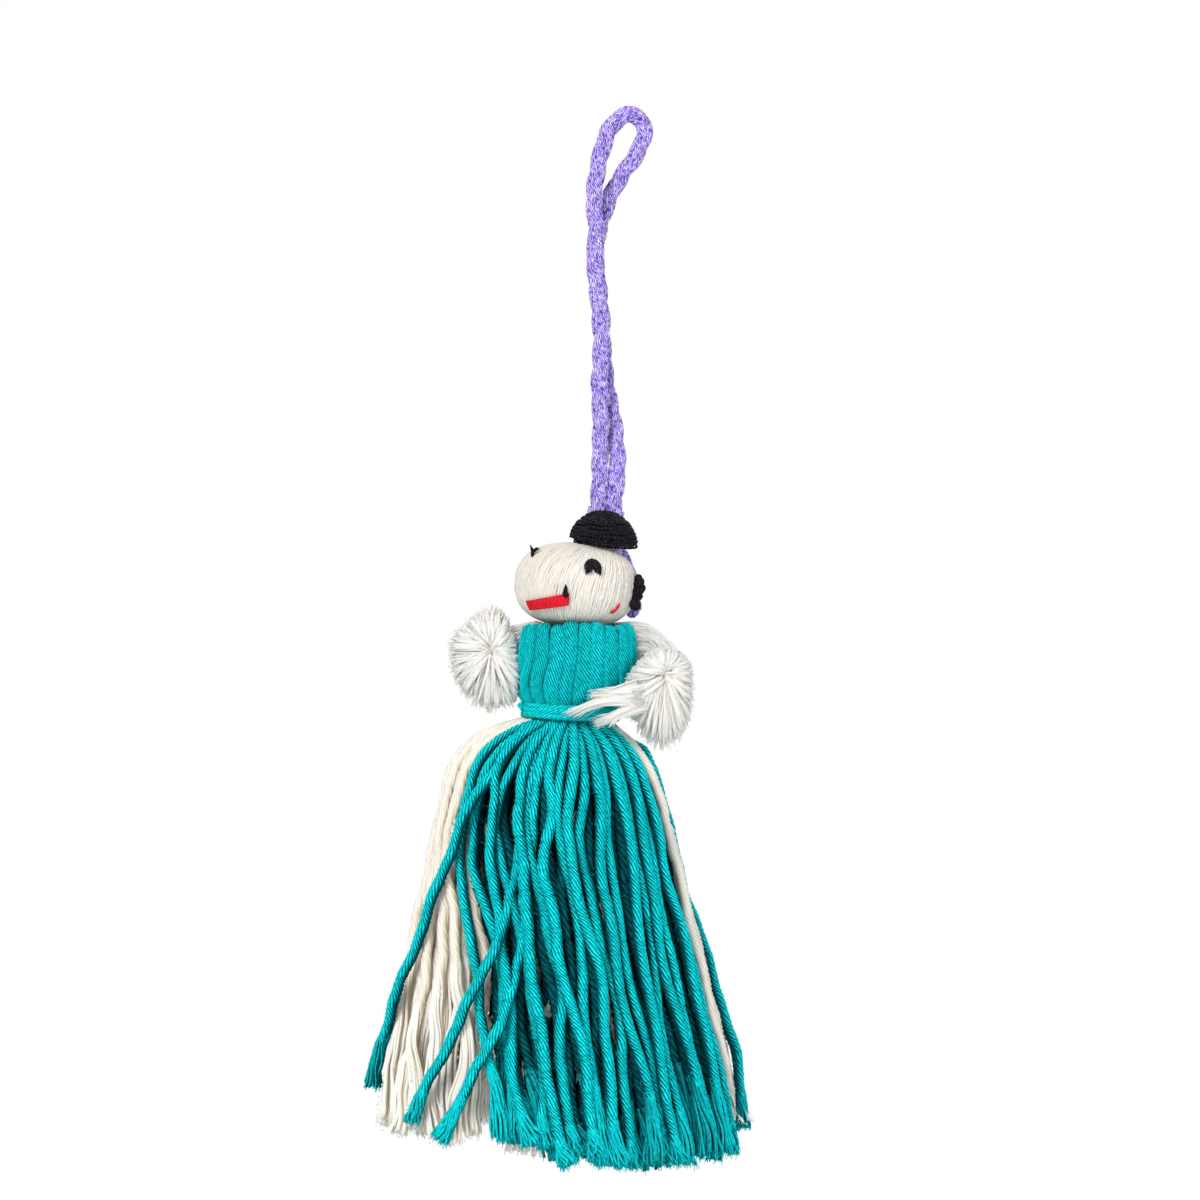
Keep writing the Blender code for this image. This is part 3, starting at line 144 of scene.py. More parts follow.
def spline(points: Array, count: int) -> Array:
    """Draw a smooth curve through points.

    Args:
        points: The points to pass through.
        count: How many points to return.

    Returns:
        Evenly spaced points on the curve.
    """
    padded = np.vstack([2 * points[0] - points[1], points, 2 * points[-1] - points[-2]])
    share = np.linspace(0.0, 1.0, SPLINE_STEPS, endpoint=False)[:, None]
    fine = [0.5 * (2 * near + (far - before) * share
                   + (2 * before - 5 * near + 4 * far - after) * share ** 2
                   + (3 * near - before - 3 * far + after) * share ** 3)
            for before, near, far, after in zip(padded, padded[1:], padded[2:], padded[3:])]
    return resample(np.vstack(fine + [points[-1:]]), count)


def frames(paths: Array, facing: Array | None = None) -> tuple[Array, Array, Array]:
    """Find the directions along, across and out of each path.

    Args:
        paths: Points of several paths of equal count.
        facing: The outward direction at each point, or None to turn as little as possible.

    Returns:
        The directions along, across and outwards at each point.
    """
    along = unit(np.gradient(paths, axis=1))
    if facing is not None:
        out = unit(facing - along * np.sum(facing * along, axis=-1, keepdims=True))
        return along, np.cross(out, along), out
    across = np.empty_like(along)
    guide = np.where(np.abs(along[:, 0, 1:2]) < 0.8, [[0.0, 1.0, 0.0]], [[1.0, 0.0, 0.0]])
    across[:, 0] = unit(np.cross(along[:, 0], guide))
    for i in range(1, paths.shape[1]):
        last = across[:, i - 1]
        across[:, i] = unit(last - along[:, i] * np.sum(last * along[:, i], axis=-1, keepdims=True))
    return along, across, np.cross(along, across)


def waves(rng: Rng, count: int, shares: Array, turns: float) -> Array:
    """Make slow waves that start at zero, one for each of several yarns.

    Args:
        rng: The source of random values.
        count: How many waves.
        shares: Places along the yarn, from 0 to 1.
        turns: About how many times a wave turns along the yarn.

    Returns:
        A height from about -1 to 1 for each yarn and place.
    """
    phase = rng.uniform(0, TURN, (count, 1))
    pace = turns * rng.uniform(0.7, 1.3, (count, 1))
    second = rng.uniform(0, TURN, (count, 1))
    wave = np.sin(TURN * pace * shares + phase) + 0.4 * np.sin(5 * math.pi * pace * shares + second)
    return wave / 1.4 * np.minimum(1.0, shares * 6)


# Finishes


def linear_colour(code: str) -> tuple[float, float, float, float]:
    """Turn an sRGB colour of six hex digits into linear light.

    Args:
        code: The digits.

    Returns:
        Red, green, blue and an alpha of one.
    """
    channels = [int(code[i:i + 2], 16) / 255 for i in (0, 2, 4)]
    light = [c / 12.92 if c <= 0.04045 else ((c + 0.055) / 1.055) ** 2.4 for c in channels]
    return light[0], light[1], light[2], 1.0


def add_node(tree: bpy.types.NodeTree, kind: str, values: dict, output: str = "Result") -> bpy.types.NodeSocket:
    """Add a shader node.

    Args:
        tree: The material's node tree.
        kind: The node's type.
        values: By input, its value or the socket that feeds it, and by property, after a full stop, its value.
        output: The output to give back.

    Returns:
        That output's socket.
    """
    node = tree.nodes.new(f"ShaderNode{kind}")
    for name, value in values.items():
        if isinstance(value, bpy.types.NodeSocket):
            tree.links.new(value, node.inputs[name])
        elif str(name).startswith("."):
            setattr(node, name[1:], value)
        else:
            node.inputs[name].default_value = value
    return node.outputs[output]


@dataclass(frozen=True)
class ThreadFinish:
    """A spun fibre: its colours, how rough it is, and the size of its fibres in millimetres."""

    name: str
    slot: Slot
    base: str
    # The deep colour is painted shade in hollows and between fibres, and also dulls random patches; the light
    # colour is painted highlight on the fibre streaks
    deep: str
    light: str
    roughness: float
    sheen: float
    specular: float
    fibre_width: float
    fibre_length: float
    relief: float
    unevenness: float = 0.35
    glow: float = 0.0
    flecks: float = 0.0
    crest_from: float = 0.55
    glint: tuple = (0.45, 0.65)
    blotch: float = 14.0

    def material(self) -> bpy.types.Material:
        """Build the finish, once for all pieces that have it.

        Returns:
            The material.
        """
        made = bpy.data.materials.get(self.name)
        if made:
            return made
        made = bpy.data.materials.new(self.name)
        made.use_nodes = True
        tree = made.node_tree
        base, deep, light = (linear_colour(code) for code in (self.base, self.deep, self.light))
        crest, shade = (add_node(tree, "Attribute", {".attribute_name": name}, "Fac")
                        for name in ("crest", "shade"))
        place_on_yarn = add_node(tree, "UVMap", {".uv_map": "yarn"}, "UV")
        place_on_doll = add_node(tree, "TexCoord", {}, "Object")
        # Fibres: fine streaks along the yarn, light where they catch the lamp and dark between them
        size = (1 / self.fibre_width, 1 / self.fibre_length, 1.0)
        fibres = add_node(tree, "Mapping", {"Scale": size, "Vector": place_on_yarn}, "Vector")
        streaks = add_node(tree, "TexNoise", {"Scale": 1.0, "Detail": 2.0, "Roughness": 0.6, "Vector": fibres},
                           "Fac")
        bright = add_node(tree, "MapRange", {"From Min": self.glint[0], "From Max": self.glint[1],
                                             "To Max": 0.85, "Value": streaks})
        dark = add_node(tree, "MapRange", {"From Min": 0.49, "From Max": 0.38, "To Max": self.flecks,
                                           "Value": streaks})
        # Painted shade: hollows between plies take the deep colour; each yarn is also a little duller in patches,
        # at random
        hollow = add_node(tree, "MapRange", {"From Max": self.crest_from, "Value": crest})
        patches = add_node(tree, "TexNoise", {"Scale": 1000 / self.blotch, "Detail": 3.0,
                                              "Vector": place_on_doll}, "Fac")
        uneven = add_node(tree, "Math", {".operation": "MULTIPLY", 0: shade, 1: patches}, "Value")
        dulled = add_node(tree, "MapRange", {"To Max": self.unevenness, "Value": uneven})
        ground = self._mix(tree, bright, base, light)
        streaked = self._mix(tree, hollow, deep, ground)
        flecked = self._mix(tree, dark, streaked, deep)
        coloured = self._mix(tree, dulled, flecked, deep)
        relief = add_node(tree, "Bump", {"Strength": 0.7, "Distance": self.relief * MM, "Height": streaks},
                          "Normal")
        shader = tree.nodes["Principled BSDF"]
        for name, value in (("Roughness", self.roughness), ("Sheen Weight", self.sheen), ("Sheen Roughness", 0.5),
                            ("Sheen Tint", light), ("Specular IOR Level", self.specular)):
            shader.inputs[name].default_value = value
        tree.links.new(coloured, shader.inputs["Base Color"])
        tree.links.new(relief, shader.inputs["Normal"])
        if self.glow:
            through = add_node(tree, "BsdfTranslucent", {"Color": streaked}, "BSDF")
            mixed = add_node(tree, "MixShader", {"Fac": self.glow, 1: shader.outputs["BSDF"], 2: through},
                             "Shader")
            tree.links.new(mixed, tree.nodes["Material Output"].inputs["Surface"])
        return made

    def _mix(self, tree: bpy.types.NodeTree, factor: bpy.types.NodeSocket, first: object,
             second: object) -> bpy.types.NodeSocket:
        """Mix two colours, each a value or a socket."""
        return add_node(tree, "Mix", {".data_type": "RGBA", "Factor": factor, "A": first, "B": second})


# Dyed worsted cotton, soft twist: matt, with painted highlights of bright fibres on the crests and painted
# green-black shade between
TEAL_COTTON = ThreadFinish("dyed_cotton_yarn", Slot.TEAL, "06DAE0", "012E38", "1CF4F8", 0.9, 0.0, 0.05, 0.28, 0.9,
                           0.12, flecks=0.4)
# Undyed cotton, spun and plied: clean white with painted straw-coloured shade in the hollows
CREAM_COTTON = ThreadFinish("undyed_cotton_yarn", Slot.CREAM, "F5F3EF", "DEC994", "F9F9F8", 0.9, 0.1, 0.15, 0.3,
                            2.0, 0.05, glow=0.1, crest_from=0.32)
# The same cotton brushed out into loose fibres: whiter and softer
BRUSHED_COTTON = ThreadFinish("brushed_cotton_fibre", Slot.CREAM, "FAF9F6", "F4EEE0", "FFFFFF", 0.92, 0.3, 0.1,
                              0.22, 3.0, 0.05, glow=0.6, crest_from=0.4)
# Fine undyed sewing thread, wound close on the head: white threads, some a little straw-coloured at random; the
# straw lines between them are painted shade on the wadding below
HEAD_THREAD = ThreadFinish("fine_cotton_thread", Slot.CREAM, "D8D4CE", "C8B794", "E2DFDA", 0.85, 0.0, 0.1, 0.2,
                           1.6, 0.03, unevenness=0.5)
# Cotton wadding that shows between the threads; its pale straw colour is painted shade for the gaps between them
HEAD_WADDING_PAINTED_SHADE = ThreadFinish("cotton_wadding_painted_shade", Slot.CREAM, "E6DABC", "CDB98C", "ECE0C6", 0.95, 0.0, 0.1, 0.3, 0.6,
                            0.08)
# Black stranded embroidery floss: near black with small grey glints
BLACK_FLOSS = ThreadFinish("black_embroidery_floss", Slot.BLACK, "020101", "010101", "4C4652", 0.6, 0.0, 0.05,
                           0.2, 0.4, 0.1)
# Red stranded embroidery floss, satin stitched
RED_FLOSS = ThreadFinish("red_embroidery_floss", Slot.RED, "DC0A22", "9A0012", "EE3A48", 0.6, 0.0, 0.15, 0.2,
                         1.2, 0.05)
# Lavender viscose floss: silky, with painted violet shade in the hollows and almost white painted glints along the
# filaments
LAVENDER_FLOSS = ThreadFinish("lavender_viscose_floss", Slot.PLAIT, "A47CEC", "4008AC", "FFF8FF", 0.45, 0.1, 0.4,
                              0.24, 0.9, 0.14, flecks=1.0, crest_from=0.68, glint=(0.45, 0.57))


# Tubes and pieces


def deselect() -> None:
    """Clear the selection."""
    bpy.ops.object.select_all(action="DESELECT")


@cache
def tube_faces(sides: int, rings: int) -> tuple[Array, Array]:
    """Model one straight tube for all threads with these counts, to be copied along their paths.

    Args:
        sides: Points round the tube.
        rings: Rings along it.

    Returns:
        The faces of its wall and of its two ends, with the vertices numbered ring by ring.
    """
    deselect()
    bpy.ops.mesh.primitive_cylinder_add(vertices=sides, radius=1.0, depth=1.0, location=(0, 0, 0.5),
                                        end_fill_type="NOTHING")
    tube = bpy.context.object
    bpy.ops.object.transform_apply(location=True, rotation=False, scale=False)
    bpy.ops.object.modifier_add(type="ARRAY")
    repeat = tube.modifiers[-1]
    repeat.count = rings - 1
    repeat.relative_offset_displace = (0.0, 0.0, 1.0)
    repeat.use_merge_vertices = True
    bpy.ops.object.modifier_apply(modifier=repeat.name)
    mesh = tube.data
    order = []
    for vertex in mesh.vertices:
        x, y, z = vertex.co
        around = round(math.atan2(y, x) / TURN * sides - sides / 4) % sides
        order.append(round(z) * sides + around)
    walls = [[order[v] for v in face.vertices] for face in mesh.polygons]
    ends = [list(range(sides))[::-1], list(range((rings - 1) * sides, rings * sides))]
    bpy.data.objects.remove(tube, do_unlink=True)
    bpy.data.meshes.remove(mesh)
    return np.array(walls), np.array(ends)


@dataclass
class Threads:
    """Threads of one kind with equal counts of rings, which become tubes along their paths."""

    paths: Array
    radii: Array
    sides: int
    seed: int
    lobes: int = 0
    groove: float = 0.0
    lead: float = 0.0
    flatness: float = 1.0
    facing: Array | None = None
    shade: Array | None = None
    plies: int = 0
    ply_groove: float = 0.0
    # Share of the crest colour kept; below one it paints shade over threads that lie in shadow
    light: float = 1.0
    axis: tuple | None = None
    flank: float = 1.0
    material: int = 0
    drift_rings: int = 40
    drift_sides: int = 24

    def points(self) -> tuple[Array, Array, Array]:
        """Work out the tubes' surfaces.

        Returns:
            The surface points, the height of each as a share of its ridge with painted shade from the light share
            and the flank multiplied in, and the arc lengths.
        """
        count, rings, _ = self.paths.shape
        _, across, out = frames(self.paths, self.facing)
        arcs = arc_lengths(self.paths)
        turn = TURN * np.arange(self.sides) / self.sides
        fine = 0.5 - 0.5 * np.cos(self.lobes * turn) if self.lobes else np.ones(self.sides)
        ply = np.abs(np.sin(self.plies * turn / 2)) ** 0.6 if self.plies else np.ones(self.sides)
        height = 1 - self.groove * (1 - fine) - self.ply_groove * (1 - ply)
        lean = np.random.default_rng(self.seed).uniform(0, TURN, (count, 1))
        if self.lead:
            lean = lean - TURN * arcs / self.lead
        if rings > self.drift_rings and self.sides < self.drift_sides:
            # A long yarn's twist is tighter in some places than in others
            lean = lean + 0.5 * waves(np.random.default_rng(self.seed + 7), count, arcs / arcs[:, -1:], 9.0)
        angle = turn[None, None, :] + np.broadcast_to(lean, (count, rings))[:, :, None]
        radii = np.broadcast_to(self.radii, (count, rings))[:, :, None] * height
        section = (np.cos(angle)[..., None] * across[:, :, None, :]
                   + self.flatness * np.sin(angle)[..., None] * out[:, :, None, :])
        surface = self.paths[:, :, None, :] + radii[..., None] * section
        # The crest share picks the colour: painted shade in the hollows, and all over where the light share is low
        crest = np.broadcast_to(fine * (0.35 + 0.65 * ply) * self.light, radii.shape)
        if self.axis:
            # The side that faces the doll's middle is in its shade
            outward = self.paths - np.array([*self.axis, 0.0])
            outward[..., 2] = 0.0
            facing = np.sum(section * unit(outward)[:, :, None, :], axis=-1)
            crest = crest * (1 - self.flank + self.flank * np.clip((facing + 0.15) / 0.8, 0.05, 1.0))
        return surface, crest, arcs


def floss(paths: Sequence[Array], radii: Sequence[Array], seed: int, groove: float = 0.2,
          lead: float = 1.6 * MM) -> Threads:
    """Make two-ply embroidery floss that lies along paths."""
    return Threads(np.stack(paths), np.stack(radii), 8, seed, 2, groove, lead)


def place(made: bpy.types.Object, body: str, finish: ThreadFinish, nodes: Sequence[str]) -> None:
    """Put a piece on its body, hide the CAD nodes that it replaces and log its size.

    Args:
        made: The piece.
        body: The body that it rides on.
        finish: Its main finish; not used.
        nodes: The CAD nodes that it replaces.
    """
    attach(made, body)
    if nodes:
        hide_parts(*nodes)
    faces = sum(len(face.vertices) - 2 for face in made.data.polygons)
    LOG.info("%s: %d triangles, rides on %s", made.name, faces, body)


class Piece:
    """One named piece of the doll, gathered from tubes and finished as a mesh."""

    def __init__(self, name: str, body: str, *finishes: ThreadFinish) -> None:
        """Start an empty piece.

        Args:
            name: The piece's name, which is also its CAD node's.
            body: The body that it rides on.
            finishes: Its finishes, in the order of its material numbers.
        """
        self.name, self.body, self.finishes = name, body, finishes
        self.rows: dict[str, list[Array]] = defaultdict(list)
        self.total = 0

    def add(self, threads: Threads) -> None:
        """Add threads to the piece.

        Args:
            threads: The threads.
        """
        count, rings, _ = threads.paths.shape
        sides = threads.sides
        walls, ends = tube_faces(sides, rings)
        surface, crest, arcs = threads.points()
        per_tube = rings * sides
        first = (self.total + per_tube * np.arange(count))[:, None, None]
        faces = (walls + first, ends + first)
        # The map is in millimetres: round the tube and along it, each tube beside the last
        around = walls % sides
        seam = (around.max(1, keepdims=True) - around.min(1, keepdims=True) > 1) & (around == 0)
        girth = TURN * float(np.median(threads.radii)) / MM
        across = np.where(seam, sides, around) / sides * girth + np.arange(count)[:, None, None] * girth
        wall_map = np.stack([across, arcs[:, walls // sides] / MM], axis=-1)
        end_map = np.zeros((*faces[1].shape, 2))
        end_map[..., 0] = np.arange(sides) / sides * girth
        shade = threads.shade
        if shade is None:
            shade = np.random.default_rng(threads.seed + 101).uniform(0, 1, count)
        self.rows["points"].append(surface.reshape(-1, 3))
        self.rows["corners"] += [face.ravel() for face in faces]
        self.rows["sizes"] += [np.full(face.shape[0] * face.shape[1], face.shape[2]) for face in faces]
        self.rows["map"] += [wall_map.reshape(-1, 2), end_map.reshape(-1, 2)]
        self.rows["crest"].append(crest.ravel())
        self.rows["shade"].append(np.repeat(shade, per_tube))
        self.rows["material"].append(np.full(count * (len(walls) + len(ends)), threads.material))
        self.total += per_tube * count

    def finish(self) -> bpy.types.Object:
        """Make the piece's mesh.

        Returns:
            The new object, at the origin, with its place in its mesh.
        """
        rows = {kind: np.concatenate(parts) for kind, parts in self.rows.items()}
        sizes = rows["sizes"]
        mesh = bpy.data.meshes.new(f"{self.name}_threads")
        mesh.vertices.add(len(rows["points"]))
        mesh.vertices.foreach_set("co", rows["points"].astype(np.float32).ravel())
        mesh.loops.add(len(rows["corners"]))
        mesh.loops.foreach_set("vertex_index", rows["corners"].astype(np.int32))
        mesh.polygons.add(len(sizes))
        mesh.polygons.foreach_set("loop_start", (np.cumsum(sizes) - sizes).astype(np.int32))
        mesh.update(calc_edges=True)
        mesh.validate()
        mesh.uv_layers.new(name="yarn").data.foreach_set("uv", rows["map"].astype(np.float32).ravel())
        for kind in ("crest", "shade"):
            attribute = mesh.attributes.new(kind, "FLOAT", "POINT")
            attribute.data.foreach_set("value", rows[kind].astype(np.float32))
        mesh.polygons.foreach_set("material_index", rows["material"].astype(np.int32))
        for finish in self.finishes:
            mesh.materials.append(finish.material())
        mesh.shade_smooth()
        made = bpy.data.objects.new(mesh.name, mesh)
        bpy.context.scene.collection.objects.link(made)
        return made

    def place(self, nodes: Sequence[str] | None = None) -> None:
        """Finish the piece and put it on its body, for its own CAD node or for those named."""
        place(self.finish(), self.body, self.finishes[0], (self.name,) if nodes is None else nodes)


def pad(name: str, centre: Array, radii: Array, finish: ThreadFinish, detail: int,
        cut_below: float | None = None) -> bpy.types.Object:
    """Model a rounded pad of wadding, flat below where it rests on something.

    Args:
        name: The piece's name.
        centre: Its middle.
        radii: Its half sizes.
        finish: What it is made of.
        detail: Segments round it.
        cut_below: The height under which it is cut away, or None.

    Returns:
        The pad, at the origin, with its place in its mesh and the attributes that its finish reads.
    """
    deselect()
    bpy.ops.mesh.primitive_uv_sphere_add(segments=detail, ring_count=detail // 2, radius=1.0,
                                         location=tuple(centre), scale=tuple(radii))
    made = bpy.context.object
    mesh = made.data
    made.name = mesh.name = f"{name}_wadding"
    bpy.ops.object.transform_apply(location=True, rotation=True, scale=True)
    if cut_below is not None:
        bpy.ops.object.mode_set(mode="EDIT")
        bpy.ops.mesh.select_all(action="SELECT")
        bpy.ops.mesh.bisect(plane_co=(0, 0, cut_below), plane_no=(0, 0, 1), use_fill=True, clear_inner=True)
        bpy.ops.object.mode_set(mode="OBJECT")
    bpy.ops.object.shade_smooth_by_angle(angle=math.radians(50))
    mesh.materials.append(finish.material())
    for kind, value in (("crest", 0.8), ("shade", 0.5)):
        attribute = mesh.attributes.new(kind, "FLOAT", "POINT")
        attribute.data.foreach_set("value", np.full(len(mesh.vertices), value, np.float32))
    spots = np.array([vertex.co for vertex in mesh.vertices], np.float32)
    spots = spots[[loop.vertex_index for loop in mesh.loops]] / MM
    layer = mesh.uv_layers.new(name="yarn")
    layer.data.foreach_set("uv", np.stack([spots[:, 0] + spots[:, 1], spots[:, 2]], axis=1).ravel())
    return made


# Windings and knots


def wind(name: str, body: str, centre: Array, half: tuple, loops: int, pitch: float, radius: float,
         finish: ThreadFinish, seed: int, axis: Sequence[float] = (0, 0, 1), flatness: float = 1.0) -> None:
    """Wind a thread round an axis, each loop beside the last, with its two ends tucked under.

    Args:
        name: The piece's name, which is also its CAD node's.
        body: The body that it rides on.
        centre: The winding's middle.
        half: Its half width and half depth, in millimetres.
        loops: How many turns.
        pitch: The distance between turns, in millimetres.
        radius: The thread's radius, in millimetres.
        finish: What it is made of.
        seed: The seed of what varies.
        axis: The axis that it is wound round.
        flatness: The thread's thickness as a share of its width.
    """
    width, depth, pitch, radius = (size * MM for size in (*half, pitch, radius))
    matrix = np.array(Vector((0, 0, 1)).rotation_difference(Vector(axis)).to_matrix())
    angle = np.linspace(0, TURN * loops, 60 * loops + 1) + math.pi / 2
    level = (np.linspace(0, loops, len(angle)) - loops / 2) * pitch + 0.05 * MM * np.sin(angle * 1.7 + 2)
    step = np.arange(len(angle))
    tuck = 1 - np.clip(np.minimum(step, step[::-1]) / 8, 0, 1)
    spot = np.stack([(width - radius * tuck) * np.cos(angle), (depth - radius * tuck) * np.sin(angle), level],
                    axis=1)
    outward = np.stack([np.cos(angle), np.sin(angle), 0 * angle], axis=1)
    sizes = radius * (1 - 0.7 * tuck)[None] * (1 + 0.05 * np.sin(angle * 3.1))
    piece = Piece(name, body, finish)
    piece.add(Threads((centre + spot @ matrix.T)[None], sizes, 12,
                      int(np.random.default_rng(seed).integers(SEED_RANGE)), 4 if radius < 0.5 * MM else 6, 0.1,
                      5.5 * MM, flatness, (outward @ matrix.T)[None]))
    piece.place()


def knot(piece: Piece, centre: Array, radius: float, rng: Rng, loops: int = 9, thread: float = 0.28) -> None:
    """Wind threads into a small round knot.

    Args:
        piece: The piece that gets it.
        centre: Its middle.
        radius: Its radius, in millimetres.
        rng: The source of random values.
        loops: How many turns of thread.
        thread: The thread's radius, in millimetres.
    """
    radius, thread = radius * MM, thread * MM
    around = np.linspace(0, TURN, 22)
    lines = []
    for _ in range(loops):
        pole = unit(rng.normal(size=3))
        side = unit(np.cross(pole, unit(rng.normal(size=3))))
        other = np.cross(pole, side)
        reach = (radius - thread) * rng.uniform(0.9, 1.0)
        lines.append(centre + reach * (np.cos(around)[:, None] * side + np.sin(around)[:, None] * other)
                     + pole * reach * 0.25 * rng.uniform(-1, 1))
    piece.add(floss(lines, np.full((loops, 22), thread), int(rng.integers(SEED_RANGE)), 0.22))


# Yarn


@dataclass
class PliedYarn:
    """Plied yarn with ends that open into separate singles."""

    sides: int = 18
    lobes: int = 9
    groove: float = 0.2
    lead: float = 9.6 * MM
    plies: int = 0
    ply_groove: float = 0.0
    ring_step: float = 0.95 * MM
    singles: int = 26
    single_radius: float = 0.27 * MM
    single_rings: int = 10
    fray_shortest: float = 4.5 * MM
    fray_longest: float = 18.0 * MM
    fray_spread: float = 1.6 * MM
    tips: int = 3
    tip_radius: float = 0.07 * MM
    hairs: int = 40
    hair_radius: float = 0.028 * MM
    hair_length: float = 1.2 * MM
    # Crest shares kept on the yarn and on its opened ends; below one they paint shade
    light: float = 1.0
    slim: float = 1.0
    slim_length: float = 16.0 * MM
    end_light: float = 0.5
    axis: tuple | None = None
    flank: float = 1.0

    def lay(self, piece: Piece, paths: Sequence[Array], radii: Array, seed: int, frayed: bool = True,
            flatness: float = 1.0, facing: Array | None = None, spread: float = 1.0,
            taper: Sequence[float] = (1.0, 1.0)) -> None:
        """Lay yarns along paths and add them to a piece.

        Args:
            piece: The piece that gets them.
            paths: The yarns' centrelines, with points of any count.
            radii: The yarns' radii, one for each.
            seed: The seed of what varies between them.
            frayed: Whether the last stretch opens into singles.
            flatness: The yarn's thickness as a share of its width.
            facing: The outward direction at each ring, for flattened yarns.
            spread: How wide the opened end fans, as a share of the usual.
            taper: Shares of the radius at even places along the yarn.
        """
        rng = np.random.default_rng(seed)
        lengths = np.array([arc_lengths(path)[-1] for path in paths])
        rings = max(6, int(round(lengths.max() / self.ring_step)))
        even = np.stack([resample(path, rings) for path in paths])
        count = len(paths)
        shares = np.linspace(0, 1, rings)[None, :]
        swell = 1 + 0.05 * waves(rng, count, shares, 3.0)
        slimmed = self.slim + (1 - self.slim) * np.clip(shares * lengths[:, None] / self.slim_length, 0, 1)
        girth = radii[:, None] * swell * slimmed
        girth = girth * np.interp(shares, np.linspace(0, 1, len(taper)), taper)
        opened = self.fray_shortest + (self.fray_longest - self.fray_shortest) * rng.uniform(0, 1, count) ** 1.7
        if frayed:
            start = 1 - opened / lengths
            past = np.clip((shares - start[:, None]) / (1 - start[:, None]), 0, 1)
            girth = girth * (1 - 0.75 * np.clip(past * 2.2, 0, 1) ** 1.2)
        shade = rng.uniform(0, 1, count)
        piece.add(Threads(even, girth, self.sides, seed, self.lobes, self.groove, self.lead, flatness, facing,
                          shade, self.plies, self.ply_groove, self.light, self.axis, self.flank))
        if frayed:
            self._open_ends(piece, even, radii, opened / lengths, rng, shade, spread)
        if self.hairs:
            self._add_hairs(piece, even, girth, lengths, rng)

    def _open_ends(self, piece: Piece, even: Array, radii: Array, opened: Array, rng: Rng, shade: Array,
                   spread: float) -> None:
        """Add the singles that fan out of the yarns' ends, and the fine fibres at their tips.

        Args:
            piece: The piece that gets them.
            even: The yarns' centrelines, at even rings.
            radii: The yarns' radii.
            opened: The opened share of each yarn's length.
            rng: The source of random values.
            shade: The yarns' shades.
            spread: How wide the end fans, as a share of the usual.
        """
        count, rings, _ = even.shape
        _, across, out = frames(even)
        turn = rng.uniform(0, TURN, count)
        q = np.linspace(0, 1, self.single_rings)
        every = np.arange(rings)
        made, sizes, shades = [], [], []
        for i in range(count):
            first = (1 - opened[i]) * (rings - 1) - 1.0
            for k in range(self.singles):
                places = np.linspace(first, rings - 1 - 1.3 * rng.uniform(0, 1) ** 2, self.single_rings)
                middle, side, face = (read_at(places, every, line[i]) for line in (even, across, out))
                angle = TURN * k / self.singles + turn[i] - 1.6 * (1 - (1 - q) ** 2)
                layer = 0.78 if k % 3 else 0.42
                reach = radii[i] * layer + self.fray_spread * spread * layer * q ** 1.6 * rng.uniform(0.3, 1.25)
                wobble = 0.34 * MM * q * np.sin(TURN * (q * rng.uniform(0.8, 1.8) + rng.uniform()))
                made.append(middle + unit(side) * (np.cos(angle) * reach + wobble)[:, None]
                            + face * (np.sin(angle) * reach * 0.75 + wobble * 0.5)[:, None])
                sizes.append(self.single_radius * rng.uniform(0.8, 1.2) * (1 + 0.12 * q))
                shades.append(np.clip(shade[i] + rng.uniform(-0.3, 0.3), 0, 1))
        singles = np.stack(made)
        piece.add(Threads(singles, np.stack(sizes), 5, int(rng.integers(SEED_RANGE)), shade=np.array(shades),
                          light=self.end_light, axis=self.axis))
        if self.tips:
            ends = np.repeat(singles[:, -4:], self.tips, axis=0)
            lead_on = (unit(ends[:, -1] - ends[:, 0]) + 0.3 * rng.normal(size=(len(ends), 3)))[:, None]
            steps = np.linspace(0, 1, 5)[None, :, None]
            root = ends[:, -1:] + 0.13 * MM * rng.normal(size=(len(ends), 1, 3)) - lead_on * 0.25 * MM
            path = root + lead_on * steps * rng.uniform(0.4, 1.0, (len(ends), 1, 1)) * MM
            piece.add(Threads(path, np.full((len(ends), 5), self.tip_radius), 3,
                              int(rng.integers(SEED_RANGE)), light=self.end_light))

    def _add_hairs(self, piece: Piece, even: Array, girth: Array, lengths: Array, rng: Rng) -> None:
        """Add the short fibres that stand off the yarns.

        Args:
            piece: The piece that gets them.
            even: The yarns' centrelines, at even rings.
            girth: The yarns' radii at the rings.
            lengths: The yarns' lengths.
            rng: The source of random values.
        """
        count, rings, _ = even.shape
        usual_length = 88
        for_each = np.maximum(2, (self.hairs * lengths / usual_length / MM).astype(int))
        yarn = np.repeat(np.arange(count), for_each)
        ring = rng.integers(1, rings - 1, len(yarn))
        along, across, out = (direction[yarn, ring] for direction in frames(even))
        angle = rng.uniform(0, TURN, len(yarn))[:, None]
        reach = (self.hair_length * rng.uniform(0.4, 1.2, len(yarn)))[:, None, None]
        normal = np.cos(angle) * across + np.sin(angle) * out
        lean = along * rng.uniform(-1.4, 1.4, len(yarn))[:, None]
        swerve = np.cross(normal, along) * rng.uniform(-0.9, 0.9, len(yarn))[:, None]
        start = even[yarn, ring] + normal * (girth[yarn, ring] * 0.85)[:, None]
        steps = np.linspace(0, 1, 5)
        bend = steps[None, :, None]
        path = (start[:, None] + unit(normal * 0.55 + lean)[:, None] * bend * reach
                + (swerve[:, None] * bend ** 2) * 0.6 * reach)
        size = self.hair_radius * (1 - 0.6 * steps)[None, :] * np.ones((len(yarn), 1))
        piece.add(Threads(path, size, 3, int(rng.integers(SEED_RANGE))))


# Hanging cord


